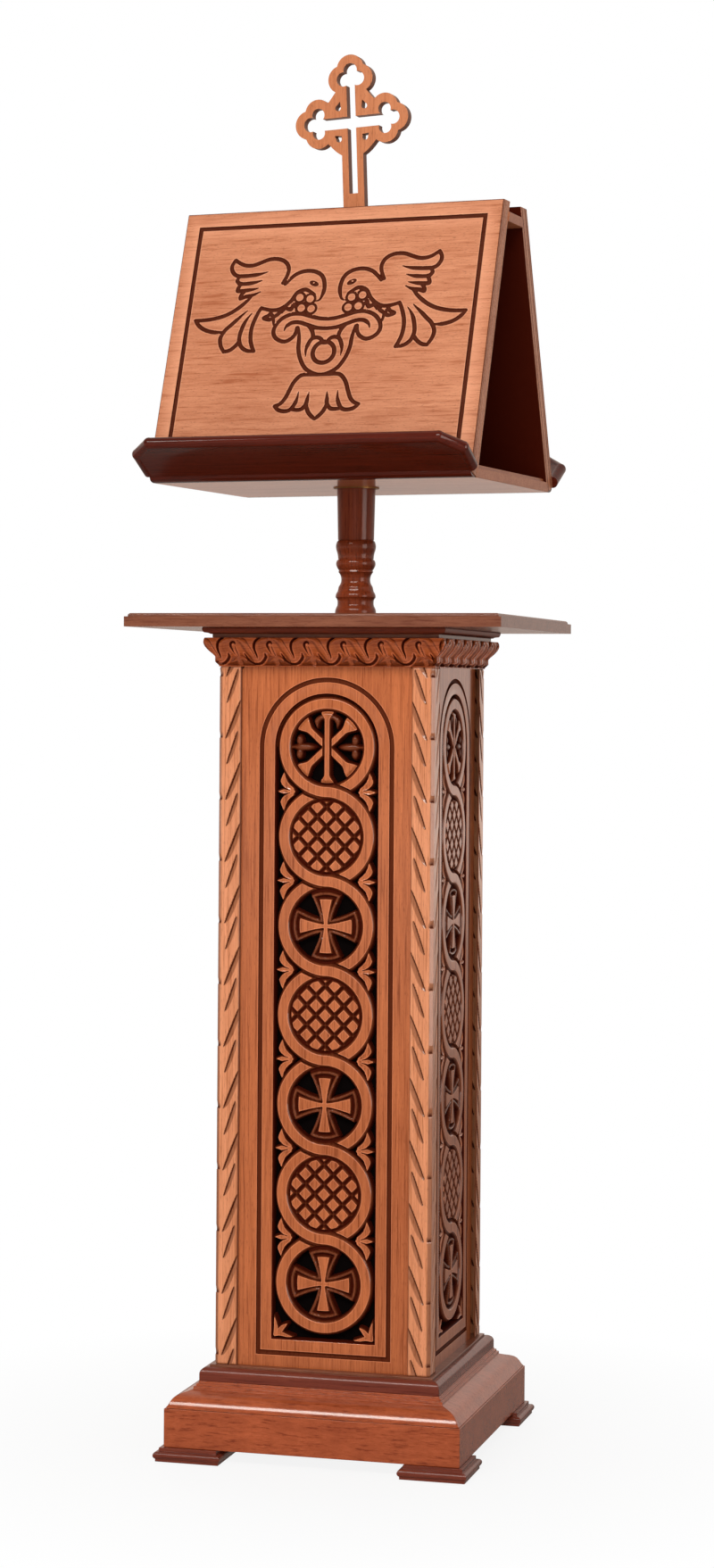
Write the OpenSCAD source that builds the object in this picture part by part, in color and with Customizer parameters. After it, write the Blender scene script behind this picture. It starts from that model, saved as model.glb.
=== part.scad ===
// Revolving lectern: a square carved cabinet on a moulded plinth, a turned column,
// and a two-sided book rest that turns on it under a pierced cross.
// Millimetres, Z up, front towards -Y, origin on the floor under the column's axis.

/* [Cabinet] */
// Width over the corner posts
cabinet_width = 265; // [230:5:310]
// Height of the corner posts
post_height = 833.5; // [700:0.5:950]
// Side of each square corner post
post_side = 27.5; // [22:0.5:36]
// Depth from a post's face back to the panel's face
panel_recess = 6; // [3:0.5:9]
// Thickness of the carved panels
panel_thick = 12; // [10:0.5:16]
// Height of the crown moulding
crown_height = 34.5; // [24:0.5:45]
// Width of the chamfer on each post's outer corner
post_chamfer = 3.5; // [2:0.5:6]

/* [Plinth] */
// Side of each foot block
foot_side = 78; // [60:1:90]
// Height of the feet
foot_height = 16; // [12:0.5:24]
// Half width over the plinth boards
plinth_reach = 180; // [165:1:200]
// Height of the plinth boards
plinth_height = 45.5; // [35:0.5:60]
// Height of the shoulder moulding
shoulder_height = 28; // [20:0.5:36]
// Height of the bead moulding
bead_height = 16; // [12:0.5:20]
// Thickness of the cabinet's floor board
floor_thick = 18.5; // [15:0.5:22]

/* [Carved panel] */
// Half width of the arched opening
opening_reach = 60.5; // [50:0.5:68]
// Distance from the panel's top down to the arch's centre
arch_drop = 95.5; // [80:0.5:120]
// Distance from the lowest ring's centre down to the opening's foot
ring_drop = 66.72; // [62:0.01:80]
// Least height of the plain rail under the opening
least_rail = 25; // [20:1:40]
// Distance from one ring's centre to the next
ring_pitch = 106.13; // [100:0.01:110]
// Outer radius of each ring
ring_radius = 58.6; // [54:0.1:60]
// Width of the carved strand
strand_width = 14; // [10:0.5:16]
// Outer radius of the arched groove
groove_reach = 82.2; // [76:0.1:92]
// Width of the arched groove
groove_width = 3.6; // [2:0.1:5]

/* [Table] */
// Width of the table top
table_width = 456; // [400:2:500]
// Depth of the table top
table_depth = 410; // [360:2:450]
// Thickness of the table top
table_thick = 16; // [14:0.5:22]
// Thickness of the board under the table top
sub_thick = 11.5; // [10:0.5:16]

/* [Column] */
// Height of the turned baluster above the table
baluster_height = 94.7; // [80:0.1:110]
// Height of the plain shaft
shaft_height = 62.4; // [50:0.1:80]
// Radius at the foot of the shaft
shaft_foot_radius = 22.1; // [20:0.1:24]
// Radius at the top of the shaft
shaft_top_radius = 23.5; // [20:0.1:26]
// Radius of the pivot bolt
bolt_radius = 6; // [5:0.5:8]

/* [Book rest] */
// Angle at which the book rest is turned in the photograph, degrees
head_turn = -5.9; // [-180:0.1:180]
// Width of the book boards
board_width = 410; // [360:2:450]
// Length of the book boards up their outer face
board_length = 349; // [300:1:380]
// Thickness of the book boards
board_thick = 22.5; // [18:0.5:25]
// Lean of the book boards from upright, degrees
board_lean = 18.8; // [14:0.1:24]
// Half depth of the book rest's base at its underside
base_reach = 135.2; // [120:0.1:150]
// Thickness of the book rest's base
base_thick = 16; // [12:0.5:20]
// Thickness of the ledges
ledge_thick = 12; // [10:0.5:16]
// Rise of the ledges above level, degrees
ledge_rise = 30; // [19:0.5:34]
// Reach of the ledges from the boards
ledge_reach = 67.5; // [55:0.5:80]
// How far the book rest sits to the left of its pivot
head_shift = 2.5; // [0:0.5:4]

/* [Cross] */
// Height of the cross above the middle of its arms
cross_top_reach = 81.5; // [75:0.5:90]
// Lean of the cross to the left, degrees
cross_lean = 2.2; // [0:0.1:3]
// Reach of each side arm
cross_arm_reach = 73.8; // [65:0.2:80]
// Width of the cross's stem
cross_stem = 27.8; // [24:0.2:32]
// Thickness of the cross
cross_thick = 12; // [9:0.5:14]
// Height of the middle of the arms above the boards' top edge
cross_rise = 111.5; // [100:0.5:120]

/* [Hidden] */
round_fn = 96;
$fn = round_fn;

SIDES = ["front", "right", "back", "left"];
CORNERS = ["front_left", "front_right", "back_right", "back_left"];
FACES = ["front", "back"];

// Heights on the cabinet, from the floor up
z_plinth = foot_height;
z_shoulder = z_plinth + plinth_height;
z_floor_board = z_shoulder + shoulder_height;
z_cabinet = z_floor_board + floor_thick;
z_crown = z_cabinet + post_height;
z_sub = z_crown + crown_height;
z_table = z_sub + sub_thick;
z_table_top = z_table + table_thick;
z_shaft = z_table_top + baluster_height;
z_shaft_top = z_shaft + shaft_height;
washer_thick = 1.1;
turn_gap = 0.3;
z_head = z_shaft_top + washer_thick + turn_gap;

// Widths on the cabinet, from the middle out
cabinet_reach = cabinet_width / 2;
post_inner = cabinet_reach - post_side;
panel_face = cabinet_reach - panel_recess;
tongue = 5;
groove_play = 0.1;
plinth_board = 18;
shoulder_inner = cabinet_reach - 12.5;
bead_inner = cabinet_reach + 4.5;
sub_reach = cabinet_reach + 6.5;
foot_centre = plinth_reach - 31;
backing_thick = 3;

// Colours
oak = [0.78, 0.48, 0.30];
patina = [0.45, 0.22, 0.13];
black_stain = [0.05, 0.04, 0.04];
steel = [0.62, 0.62, 0.64];
bronze = [0.70, 0.52, 0.30];

// Points of an arc, from angle a to angle b
function arc(x, y, r, a, b, steps = 8) = [
    for (i = [0:steps])
        let (t = a + (b - a) * i / steps)
            [x + r * cos(t), y + r * sin(t)]
];

// One point of a smooth curve between b and c
function curve_point(a, b, c, d, t) =
    0.5 * ((2 * b) + (c - a) * t + (2 * a - 5 * b + 4 * c - d) * t * t
        + (3 * b - a - 3 * c + d) * t * t * t);

// A smooth curve through every point of a list
function smooth(p, steps = 3) = concat(
    [for (i = [0:len(p) - 2], s = [0:steps - 1])
        curve_point(p[max(i - 1, 0)], p[i], p[i + 1], p[min(i + 2, len(p) - 1)], s / steps)],
    [p[len(p) - 1]]
);

// A list of points turned back to front and mirrored in the middle line
function mirrored(p) = [for (i = [len(p) - 1:-1:0]) [-p[i][0], p[i][1]]];
function both_halves(p) = concat(p, mirrored(p));
function moved(p, x, y) = [for (q = p) [q[0] + x, q[1] + y]];

// Turns what is drawn at the front to one of the four sides
module side(k) {
    rotate([0, 0, 90 * k]) children();
}

// A moulding along the front, mitred at both ends; its outline is [reach, height]
module mitred(outline) {
    reach = 260;
    intersection() {
        rotate([90, 0, 90])
            linear_extrude(height = 2 * reach, center = true)
                polygon([for (p = outline) [-p[0], p[1]]]);
        linear_extrude(height = z_table_top)
            polygon([[0, 0], [-reach, -reach], [reach, -reach]]);
    }
}

// A slab whose edge has the same outline on all four sides
module edged_slab(reach_x, reach_y, edge) {
    intersection() {
        rotate([90, 0, 0])
            linear_extrude(height = 2 * reach_y + 20, center = true)
                polygon(both_halves(moved(edge, reach_x, 0)));
        rotate([90, 0, 90])
            linear_extrude(height = 2 * reach_x + 20, center = true)
                polygon(both_halves(moved(edge, reach_y, 0)));
    }
}

// Feet and plinth
foot_screw_radius = 2;
foot_screw_head = 5;
foot_screw_sink = 5;
foot_screw_length = 46;
screw_play = 0.05;
block_side = 38;
screw_place = plinth_reach - plinth_board - block_side / 2;

foot_edge = concat(
    [[0, 0], [0, 2.5]],
    arc(-2, 7.3, 4.5, -63, 63),
    [[-3.5, 12], [-3.5, foot_height]]
);

module foot() {
    color(patina)
        difference() {
            translate([-foot_centre, -foot_centre, 0])
                edged_slab(foot_side / 2, foot_side / 2, foot_edge);
            translate([-screw_place, -screw_place, -1]) {
                cylinder(r = foot_screw_head + 0.5, h = foot_screw_sink + 1);
                cylinder(r = foot_screw_radius + 0.3, h = foot_height + 2);
            }
        }
}

module plinth_board() {
    color(oak)
        mitred([
            [plinth_reach - plinth_board, z_plinth], [plinth_reach, z_plinth],
            [plinth_reach, z_shoulder], [plinth_reach - plinth_board, z_shoulder]
        ]);
}

module plinth_corner_blocks() {
    color(oak)
        for (k = [0:3])
            side(k)
                difference() {
                    translate([-plinth_reach + plinth_board, -plinth_reach + plinth_board, z_plinth])
                        cube([block_side, block_side, plinth_height]);
                    translate([-screw_place, -screw_place, z_plinth - 1])
                        cylinder(r = foot_screw_radius + screw_play, h = foot_screw_length - z_plinth + 1.5);
                }
}

module foot_screws() {
    color(steel)
        for (k = [0:3])
            side(k)
                translate([-screw_place, -screw_place, 0]) {
                    translate([0, 0, foot_screw_sink - 3])
                        cylinder(r = foot_screw_head, h = 3);
                    translate([0, 0, foot_screw_sink])
                        cylinder(r = foot_screw_radius, h = foot_screw_length - foot_screw_sink);
                }
}

// The ogee above the plinth, with three small steps at its top
ogee_inner = cabinet_reach + 21.3;
ogee_run = plinth_reach - 1.2 - ogee_inner;
ogee_rise = shoulder_height - 9.4;
step_reach = cabinet_reach + 20;
ogee_shares = [
    [1, 0.2 / 18.6], [0.904, 3.4 / 18.6], [0.792, 8.4 / 18.6], [0.648, 12.6 / 18.6],
    [0.428, 15.3 / 18.6], [0.188, 17 / 18.6], [0, 1]
];
ogee = smooth([for (p = ogee_shares) [ogee_inner + p[0] * ogee_run, p[1] * ogee_rise]]);

module shoulder() {
    outline = concat(
        [[shoulder_inner, 0]],
        ogee,
        [[step_reach, shoulder_height - 9], [step_reach, shoulder_height - 5.5],
         [step_reach - 2.5, shoulder_height - 5.5], [step_reach - 2.5, shoulder_height - 2.5],
         [step_reach - 5, shoulder_height - 2.5], [step_reach - 5, shoulder_height],
         [shoulder_inner, shoulder_height]]
    );
    color(patina)
        mitred(moved(outline, 0, z_shoulder));
}

module cabinet_floor() {
    color(oak)
        translate([-bead_inner, -bead_inner, z_floor_board])
            cube([2 * bead_inner, 2 * bead_inner, floor_thick]);
}

module base_bead() {
    outline = concat(
        [[bead_inner, 0], [bead_inner + 10, 0]],
        arc(bead_inner + 2, bead_height - 8, 8, 0, 90, 10),
        [[bead_inner, bead_height]]
    );
    color(patina)
        mitred(moved(outline, 0, z_floor_board));
}

// Corner posts
gouge_pitch = 73.7;
gouge_first = 35;
gouge_count = floor((post_height - gouge_first) / gouge_pitch) + 1;

// A slanted gouge on a post's face, from its inner edge down towards the corner
module gouge(length, width) {
    rotate([0, 0, 62])
        rotate([45, 0, 0])
            cube([length, width, width], center = true);
}

module post_gouges() {
    for (i = [0:gouge_count - 1])
        translate([post_inner + 8, gouge_first + i * gouge_pitch, 0]) {
            translate([4, 20, 0]) gouge(42, 2.6);
            translate([-1, -14, 0]) gouge(17, 2);
        }
}

module post() {
    slot = panel_thick + 2 * groove_play;
    corner = sqrt(2) * post_chamfer;
    color(oak)
        difference() {
            translate([-cabinet_reach, -cabinet_reach, z_cabinet])
                cube([post_side, post_side, post_height]);
            translate([-cabinet_reach, -cabinet_reach, z_cabinet - 1])
                rotate([0, 0, 45])
                    cube([corner, corner, 2 * post_height + 4], center = true);
            for (front = [0, 1])
                mirror([front, -front, 0]) {
                    translate([-post_inner - tongue - 0.5, -panel_face - groove_play, z_cabinet - 1])
                        cube([tongue + 1, slot, post_height + 2]);
                    translate([0, -cabinet_reach, z_cabinet])
                        rotate([90, 0, 0])
                            mirror([1, 0, 0]) post_gouges();
                }
        }
}

// Carved panel, drawn flat: x across, y up from its foot, z out to its face
arch_centre = post_height - arch_drop;
ring_count = 1 + floor((arch_centre - ring_drop - least_rail) / ring_pitch);
opening_foot = arch_centre - (ring_count - 1) * ring_pitch - ring_drop;
groove_foot = opening_foot - 20.9;
ring_inner = ring_radius - strand_width;
ring_middle = ring_radius - strand_width / 2;
ring_back = 2;
ring_face = panel_thick - 1.5;
fill_face = panel_thick - 3;
fill_radius = ring_inner + 1;

module arch(reach, foot) {
    polygon(concat(
        [[-reach, foot], [reach, foot]],
        arc(0, arch_centre, reach, 0, 180, 48)
    ));
}

module arched_groove() {
    depth = 2;
    translate([0, 0, panel_thick - depth])
        linear_extrude(height = depth + 1)
            difference() {
                arch(groove_reach, groove_foot);
                arch(groove_reach - groove_width, groove_foot + groove_width);
            }
}

module ring() {
    translate([0, 0, ring_back])
        difference() {
            cylinder(r = ring_radius, h = ring_face - ring_back - 1);
            translate([0, 0, -1])
                cylinder(r = ring_inner, h = panel_thick);
        }
}

// The strand that passes over from one ring to the next, as a ribbon between two arcs
over_angle = 40;
over_start = [ring_middle * cos(-90 - over_angle), ring_middle * sin(-90 - over_angle)];
over_pull = 0.62 * ring_middle;
over_steps = 14;
function over_centre(t) =
    let (
        a = over_start,
        b = a + over_pull * [sin(over_angle + 90) * cos(over_angle) / sin(over_angle + 90), -sin(over_angle)],
        d = [-a[0], -ring_pitch - a[1]],
        c = d - (b - a),
        u = 1 - t
    )
        u * u * u * a + 3 * u * u * t * b + 3 * u * t * t * c + t * t * t * d;
function over_side(t, w) =
    let (
        step = over_centre(min(t + 0.01, 1)) - over_centre(max(t - 0.01, 0)),
        n = [-step[1], step[0]] / norm(step)
    )
        over_centre(t) + w * n;

module over_strand() {
    half = strand_width / 2 - 0.8;
    translate([0, 0, ring_back + 1])
        linear_extrude(height = ring_face - ring_back - 1)
            polygon(concat(
                [for (i = [0:over_steps]) over_side(i / over_steps, half)],
                [for (i = [over_steps:-1:0]) over_side(i / over_steps, -half)]
            ));
}

// A leaf sprig beside a crossing, reaching from the rings to the opening's edge
leaf = smooth([[-38, 5], [-43, 10], [-50.5, 21.5], [-54.5, 13], [-52, 6], [-46, 3]], 2);

module sprig() {
    translate([0, 0, ring_back])
        linear_extrude(height = fill_face - ring_back) {
            for (s = [-1, 1])
                scale([1, s]) {
                    polygon(leaf);
                    polygon([[-22, 0], [-40, 10], [-47, 5], [-50, 1.8], [-54, 3], [-opening_reach - 1, 1], [-opening_reach - 1, 0]]);
                }
        }
}

// The low rim that joins the top ring to the arch, and the leaves in the two lower corners
rim_face = 6;

module arch_rim() {
    translate([0, arch_centre, ring_back])
        linear_extrude(height = rim_face - ring_back)
            intersection() {
                difference() {
                    circle(r = opening_reach + 1);
                    circle(r = ring_radius - 2);
                }
                translate([-opening_reach - 2, -12])
                    square([2 * opening_reach + 4, opening_reach + 14]);
            }
}

module corner_leaf() {
    translate([0, 0, ring_back])
        linear_extrude(height = fill_face - ring_back)
            polygon([
                [-38, -38], [-47, -40],
                [-opening_reach - 1, 15 - ring_drop], [-opening_reach - 1, -1 - ring_drop],
                [-42, -1 - ring_drop], [-40, 9 - ring_drop]
            ]);
}

// Medallion with a net of lozenges
lozenge_across = 22.8;
lozenge_up = 23.5;
lozenge_groove = 5.4;

module lattice() {
    lean = atan2(lozenge_up, lozenge_across);
    spacing = lozenge_across * sin(lean) / 2 * 2;
    difference() {
        translate([0, 0, ring_back])
            cylinder(r = fill_radius, h = fill_face - ring_back);
        for (way = [-1, 1], i = [-2:1])
            rotate([0, 0, way * lean])
                translate([0, (i + 0.5) * spacing, fill_face + 0.6])
                    rotate([45, 0, 0])
                        cube([2 * fill_radius + 2, lozenge_groove, lozenge_groove], center = true);
    }
}

// Medallion with a pierced cross whose arms widen outwards
void_angle = 27.5;
void_reach = 43;
void_outline = concat(
    [[8, 8], [13.8, 23]],
    arc(0, 0, void_reach, 90 - void_angle, void_angle, 6),
    [[23, 13.8]]
);

module arm(foot, foot_half, tip, tip_half) {
    polygon([[-foot_half, foot], [foot_half, foot], [tip_half, tip], [-tip_half, tip]]);
}

module flared_cross() {
    difference() {
        translate([0, 0, ring_back])
            cylinder(r = fill_radius, h = fill_face - ring_back);
        for (k = [0:3])
            rotate([0, 0, 90 * k])
                translate([0, 0, -1])
                    linear_extrude(height = panel_thick + 2)
                        polygon(void_outline);
        translate([0, 0, fill_face - 3])
            linear_extrude(height = 4)
                difference() {
                    for (k = [0:3])
                        rotate(90 * k) arm(2.6, 3, 38.5, 14.5);
                    for (k = [0:3])
                        rotate(90 * k) arm(0, 1.6, 32, 8);
                    rotate(45) square(6, center = true);
                }
    }
}

// Medallion with a wheel of six widening spokes and a leaf on either side
spoke_half = 3.4;
spoke_angle = 58;
module wheel() {
    translate([0, 0, ring_back])
        linear_extrude(height = fill_face + 1 - ring_back) {
            difference() {
                circle(r = fill_radius);
                circle(r = 41.5);
            }
            for (a = [0, spoke_angle, 180 - spoke_angle, 180, 180 + spoke_angle, -spoke_angle])
                rotate(a) {
                    arm(0, spoke_half, 43, spoke_half);
                    arm(30, spoke_half, 43, 8);
                }
            for (s = [-1, 1])
                scale([s, 1])
                    polygon([[10, 0], [22, -5], [34, -9], [43, 0], [34, 9], [22, 5]]);
        }
}

module carved_panel_flat() {
    reach = post_inner + tongue;
    difference() {
        translate([-reach, 0, 0])
            cube([2 * reach, post_height, panel_thick]);
        translate([0, 0, -1])
            linear_extrude(height = panel_thick + 2)
                arch(opening_reach, opening_foot);
        arched_groove();
    }
    for (k = [0:ring_count - 1])
        translate([0, arch_centre - k * ring_pitch, 0]) {
            ring();
            if (k == 0) wheel();
            if (k % 2 == 1) lattice();
            if (k > 0 && k % 2 == 0) flared_cross();
            if (k < ring_count - 1) {
                over_strand();
                for (s = [0, 1])
                    mirror([s, 0, 0])
                        translate([0, -ring_pitch / 2, 0]) sprig();
            } else {
                for (s = [0, 1])
                    mirror([s, 0, 0]) corner_leaf();
            }
        }
    arch_rim();
}

module carved_panel() {
    color(oak)
        translate([0, -panel_face + panel_thick, z_cabinet])
            rotate([90, 0, 0])
                carved_panel_flat();
}

module backing() {
    color(black_stain)
        translate([-post_inner, -panel_face + panel_thick, z_cabinet])
            cube([2 * post_inner, backing_thick, post_height]);
}

// Crown moulding with a row of upright leaves
crown_rise = crown_height / 34.5;
crown_top = [cabinet_reach + 6.4, crown_height];
function on_crown(p) = [for (q = p) [cabinet_reach + q[0], q[1] * crown_rise]];
crown_face = concat(
    on_crown([[0.2, 0], [0.2, 1.4], [3.9, 5.6], [3.9, 11.8]]),
    smooth(on_crown([[3.9, 11.8], [7.5, 16], [11.5, 20.4], [14.9, 26.4], [15.2, 30.4], [13.9, 34.1]]), 2)
);
leaf_count = 6;

module crown() {
    outline = concat([[post_inner, 0]], crown_face, [crown_top, [post_inner, crown_height]]);
    pitch = 2 * cabinet_reach / leaf_count;
    color(oak)
        difference() {
            mitred(moved(outline, 0, z_crown));
            for (i = [0:leaf_count - 1])
                translate([(i - (leaf_count - 1) / 2) * pitch, -cabinet_reach - 10, z_crown + 14])
                    rotate([63, 0, 0]) {
                        translate([0, 0, -3])
                            cylinder(r = 3, h = 20);
                        for (s = [-1, 1])
                            translate([s * pitch / 2, 0, 1.5])
                                rotate([0, 45, 0])
                                    cube([4, 60, 4], center = true);
                    }
        }
}

// Table
bed_height = z_table - z_crown - crown_height;
screw_radius = 2;
table_screw_place = 80;
table_screw_length = 22;
tenon_radius = 15;
tenon_play = 0.1;
tenon_length = 56;
socket_side = 120;
socket_height = 30;

module table_screw_holes(radius, from, to) {
    for (x = [-1, 1], y = [-1, 1])
        translate([x * table_screw_place, y * table_screw_place, from])
            cylinder(r = radius, h = to - from);
}

module sub_top() {
    color(oak)
        difference() {
            translate([-sub_reach, -sub_reach, z_sub])
                cube([2 * sub_reach, 2 * sub_reach, sub_thick]);
            translate([0, 0, z_sub - 1])
                cylinder(r = tenon_radius + tenon_play, h = sub_thick + 2);
            table_screw_holes(screw_radius + 0.3, z_sub - 1, z_table + 1);
        }
}

bed_reach = sub_reach + 10.2;
bed_face = [[sub_reach, 4], [sub_reach + 2.4, 4.1], [sub_reach + 4, 5.2], [sub_reach + 8.6, 5.9], [bed_reach, 9]];

module bed_moulding() {
    color(patina)
        mitred(moved(concat(bed_face, [[bed_reach, bed_height], [sub_reach, bed_height]]), 0, z_sub));
}

table_edge = concat(
    [[0, 0], [0, 12], [-3.6, 12], [-3.6, 13]],
    arc(-6.6, table_thick - 3, 3, 0, 90, 5)
);

module table_top() {
    color(oak)
        difference() {
            translate([0, 0, z_table])
                edged_slab(table_width / 2, table_depth / 2, table_edge);
            translate([0, 0, z_table - 1])
                cylinder(r = tenon_radius + tenon_play, h = table_thick + 2);
            table_screw_holes(screw_radius + screw_play, z_table - 1, z_sub + table_screw_length + 0.5);
        }
}

module table_screws() {
    color(steel) {
        table_screw_holes(screw_radius, z_sub, z_sub + table_screw_length);
        table_screw_holes(4, z_sub - 2.5, z_sub);
    }
}

module column_socket() {
    color(oak)
        difference() {
            translate([-socket_side / 2, -socket_side / 2, z_sub - socket_height])
                cube([socket_side, socket_side, socket_height]);
            translate([0, 0, z_sub - socket_height - 1])
                cylinder(r = tenon_radius + tenon_play, h = socket_height + 2);
        }
}

// Column
dowel_radius = 12;
dowel_length = 28;
bolt_sink = 48;
lower_turning = smooth([
    [25.5, 0], [25.0, 7.4], [24.1, 10.7], [22.5, 14], [22.1, 17.3], [22.4, 20.6], [23.4, 22.9],
    [24.6, 24.6], [23.9, 28.5], [22.2, 31.5], [21.4, 34.5], [20.8, 37.2], [18.7, 40.9], [17.8, 44.4],
    [17.9, 48], [19.0, 51.8], [21.3, 55.2]
]);
middle_turning = smooth([
    [20.7, 57.4], [22.6, 60.2], [24.2, 64.6], [23.4, 68.8], [21.4, 70.6]
]);
upper_turning = smooth([
    [21.9, 72], [22.0, 74.2], [22.7, 78.2], [24.1, 83], [24.5, 87.6], [23.3, 92.2], [21.6, 93.9]
]);

module column_baluster() {
    color(patina)
        difference() {
            translate([0, 0, z_table_top])
                union() {
                    rotate_extrude()
                        polygon(concat(
                            [[0, 0]],
                            lower_turning, middle_turning, upper_turning,
                            [[21.6, baluster_height], [0, baluster_height]]
                        ));
                    translate([0, 0, -tenon_length])
                        cylinder(r = tenon_radius, h = tenon_length + 1);
                }
            translate([0, 0, z_shaft - dowel_length - 1])
                cylinder(r = dowel_radius, h = dowel_length + 2);
        }
}

module column_shaft() {
    color(patina)
        difference() {
            union() {
                translate([0, 0, z_shaft])
                    cylinder(r1 = shaft_foot_radius, r2 = shaft_top_radius, h = shaft_height);
                translate([0, 0, z_shaft - dowel_length])
                    cylinder(r = dowel_radius - 0.05, h = dowel_length + 1);
            }
            translate([0, 0, z_shaft_top - bolt_sink])
                cylinder(r = bolt_radius + 0.05, h = bolt_sink + 1);
        }
}

// Pivot
bush_radius = 9;
pivot_washer_radius = 14;
pivot_washer_thick = 2;
nut_flats = 19;
nut_height = 10;
z_pivot_washer = z_head + base_thick + turn_gap;
z_nut = z_pivot_washer + pivot_washer_thick;
bolt_end = z_nut + nut_height + 3;

module washer(radius, hole, thick) {
    difference() {
        cylinder(r = radius, h = thick);
        translate([0, 0, -1])
            cylinder(r = hole, h = thick + 2);
    }
}

module thrust_washer() {
    color(bronze)
        translate([0, 0, z_shaft_top])
            washer(28, bolt_radius + 0.2, washer_thick);
}

module pivot_bolt() {
    color(steel)
        translate([0, 0, z_shaft_top - bolt_sink])
            cylinder(r = bolt_radius, h = bolt_end - z_shaft_top + bolt_sink);
}

module pivot_bush() {
    color(bronze)
        translate([0, 0, z_head])
            washer(bush_radius, bolt_radius + 0.05, base_thick);
}

module pivot_washer() {
    color(steel)
        translate([0, 0, z_pivot_washer])
            washer(pivot_washer_radius, bolt_radius + 0.2, pivot_washer_thick);
}

module pivot_nut() {
    color(steel)
        translate([0, 0, z_nut])
            difference() {
                cylinder(r = nut_flats / sqrt(3), h = nut_height, $fn = 6);
                translate([0, 0, -1])
                    cylinder(r = bolt_radius, h = nut_height + 2);
            }
}

// Book rest, drawn square to the cabinet and then turned
lean_run = tan(board_lean);
base_end_step = 4;
z_spreader = z_head + 313;
spreader_thick = 12;
mortise_width = 18;
mortise_thick = 8;

module on_head() {
    rotate([0, 0, head_turn])
        translate([-head_shift, 0, 0])
            children();
}

// How far a board's inner face has leant in at a height above the base's underside
function inner_reach(height) = base_reach - lean_run * height;

module along_x(reach) {
    rotate([90, 0, 90])
        linear_extrude(height = 2 * reach, center = true)
            children();
}

module head_base() {
    step = 12;
    color(oak)
        on_head()
            difference() {
                translate([0, 0, z_head])
                    intersection() {
                        along_x(board_width / 2)
                            polygon(both_halves([[base_reach, 0], [inner_reach(base_thick), base_thick]]));
                        union() {
                            translate([-board_width / 2, -base_reach, 0])
                                cube([board_width, 2 * base_reach, step]);
                            translate([-board_width / 2 + base_end_step, -base_reach, 0])
                                cube([board_width - 2 * base_end_step, 2 * base_reach, base_thick]);
                        }
                    }
                translate([head_shift, 0, z_head - 1])
                    cylinder(r = bush_radius, h = base_thick + 2);
            }
}

// Puts what is drawn on a board's plane in its place at the front:
// x along the board, y up its slope, z out from its inner face
module on_board() {
    translate([0, -base_reach, z_head])
        rotate([90 - board_lean, 0, 0])
            children();
}

frame_reach = 187;
frame_foot = 20;
frame_top = 331;
frame_width = 5;
frame_depth = 1.6;
end_bead = 3;

module book_board() {
    half = board_width / 2;
    color(oak)
        on_board()
            difference() {
                along_x(half)
                    polygon([[0, 0], [board_length + board_thick * lean_run, 0], [board_length, board_thick], [0, board_thick]]);
                translate([0, 0, board_thick - frame_depth])
                    linear_extrude(height = frame_depth + 1)
                        difference() {
                            translate([-frame_reach, frame_foot])
                                square([2 * frame_reach, frame_top - frame_foot]);
                            translate([-frame_reach + frame_width, frame_foot + frame_width])
                                square([2 * (frame_reach - frame_width), frame_top - frame_foot - 2 * frame_width]);
                        }
                for (s = [-1, 1], depth = [end_bead + 1.5, board_thick - end_bead - 1.5])
                    translate([s * half, 0, depth])
                        rotate([0, 45, 0])
                            cube([1.8, 3 * board_length, 1.8], center = true);
            }
}

// A ledge with its corners cut off and a round nose along its outer edges,
// drawn with x along it and z outwards, and rising above level
nose = ledge_thick / 2 + 1;
nose_side = board_width / 2;
nose_corner = 38.5;
nose_splay = 23;
nose_path = [
    [nose_side, -6], [nose_side, nose_corner], [nose_side - nose_splay, ledge_reach - nose],
    [nose_splay - nose_side, ledge_reach - nose], [-nose_side, nose_corner], [-nose_side, -6]
];

module nose_run(a, b) {
    way = b - a;
    translate([a[0], 0, a[1]])
        rotate([0, atan2(way[0], way[1]), 0])
            rotate(180)
                cylinder(r = nose, h = norm(way));
}

module ledge_stock() {
    translate([0, ledge_thick / 2, 0])
        rotate([90, 0, 0])
            linear_extrude(height = ledge_thick)
                polygon(nose_path);
    for (i = [0:len(nose_path) - 2])
        nose_run(nose_path[i], nose_path[i + 1]);
    for (i = [1:len(nose_path) - 2])
        translate([nose_path[i][0], 0, nose_path[i][1]])
            sphere(r = nose + 0.2);
}

module ledge() {
    color(patina)
        on_board()
            intersection() {
                translate([0, 0, board_thick])
                    rotate([board_lean - ledge_rise, 0, 0])
                        translate([0, ledge_thick / 2, 0])
                            ledge_stock();
                translate([-board_width, -board_width, board_thick])
                    cube(2 * board_width);
            }
}

// The strip under a board's foot, hollowed towards its outer edge
module ledge_cleat() {
    drop = board_thick * sin(board_lean);
    out = board_thick * cos(board_lean);
    reach = base_reach + out;
    flat = base_reach + 11.5;
    color(patina)
        translate([0, 0, z_head])
            along_x(board_width / 2 - 1)
                polygon(concat(
                    [[-base_reach, 0], [-flat, 0]],
                    smooth([[-flat, 0], [-flat - 4.8, 1.2], [-reach + 1.6, 3.6], [-reach, drop]], 3)
                ));
}

module top_spreader() {
    low = z_spreader - z_head;
    high = low + spreader_thick;
    color(oak)
        on_head()
            difference() {
                translate([0, 0, z_head])
                    along_x(board_width / 2 + 1)
                        polygon(both_halves([[inner_reach(low), low], [inner_reach(high), high]]));
                translate([0, 0, z_spreader + spreader_thick / 2])
                    cube([mortise_width + 0.2, mortise_thick + 0.2, spreader_thick + 2], center = true);
            }
}

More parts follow.
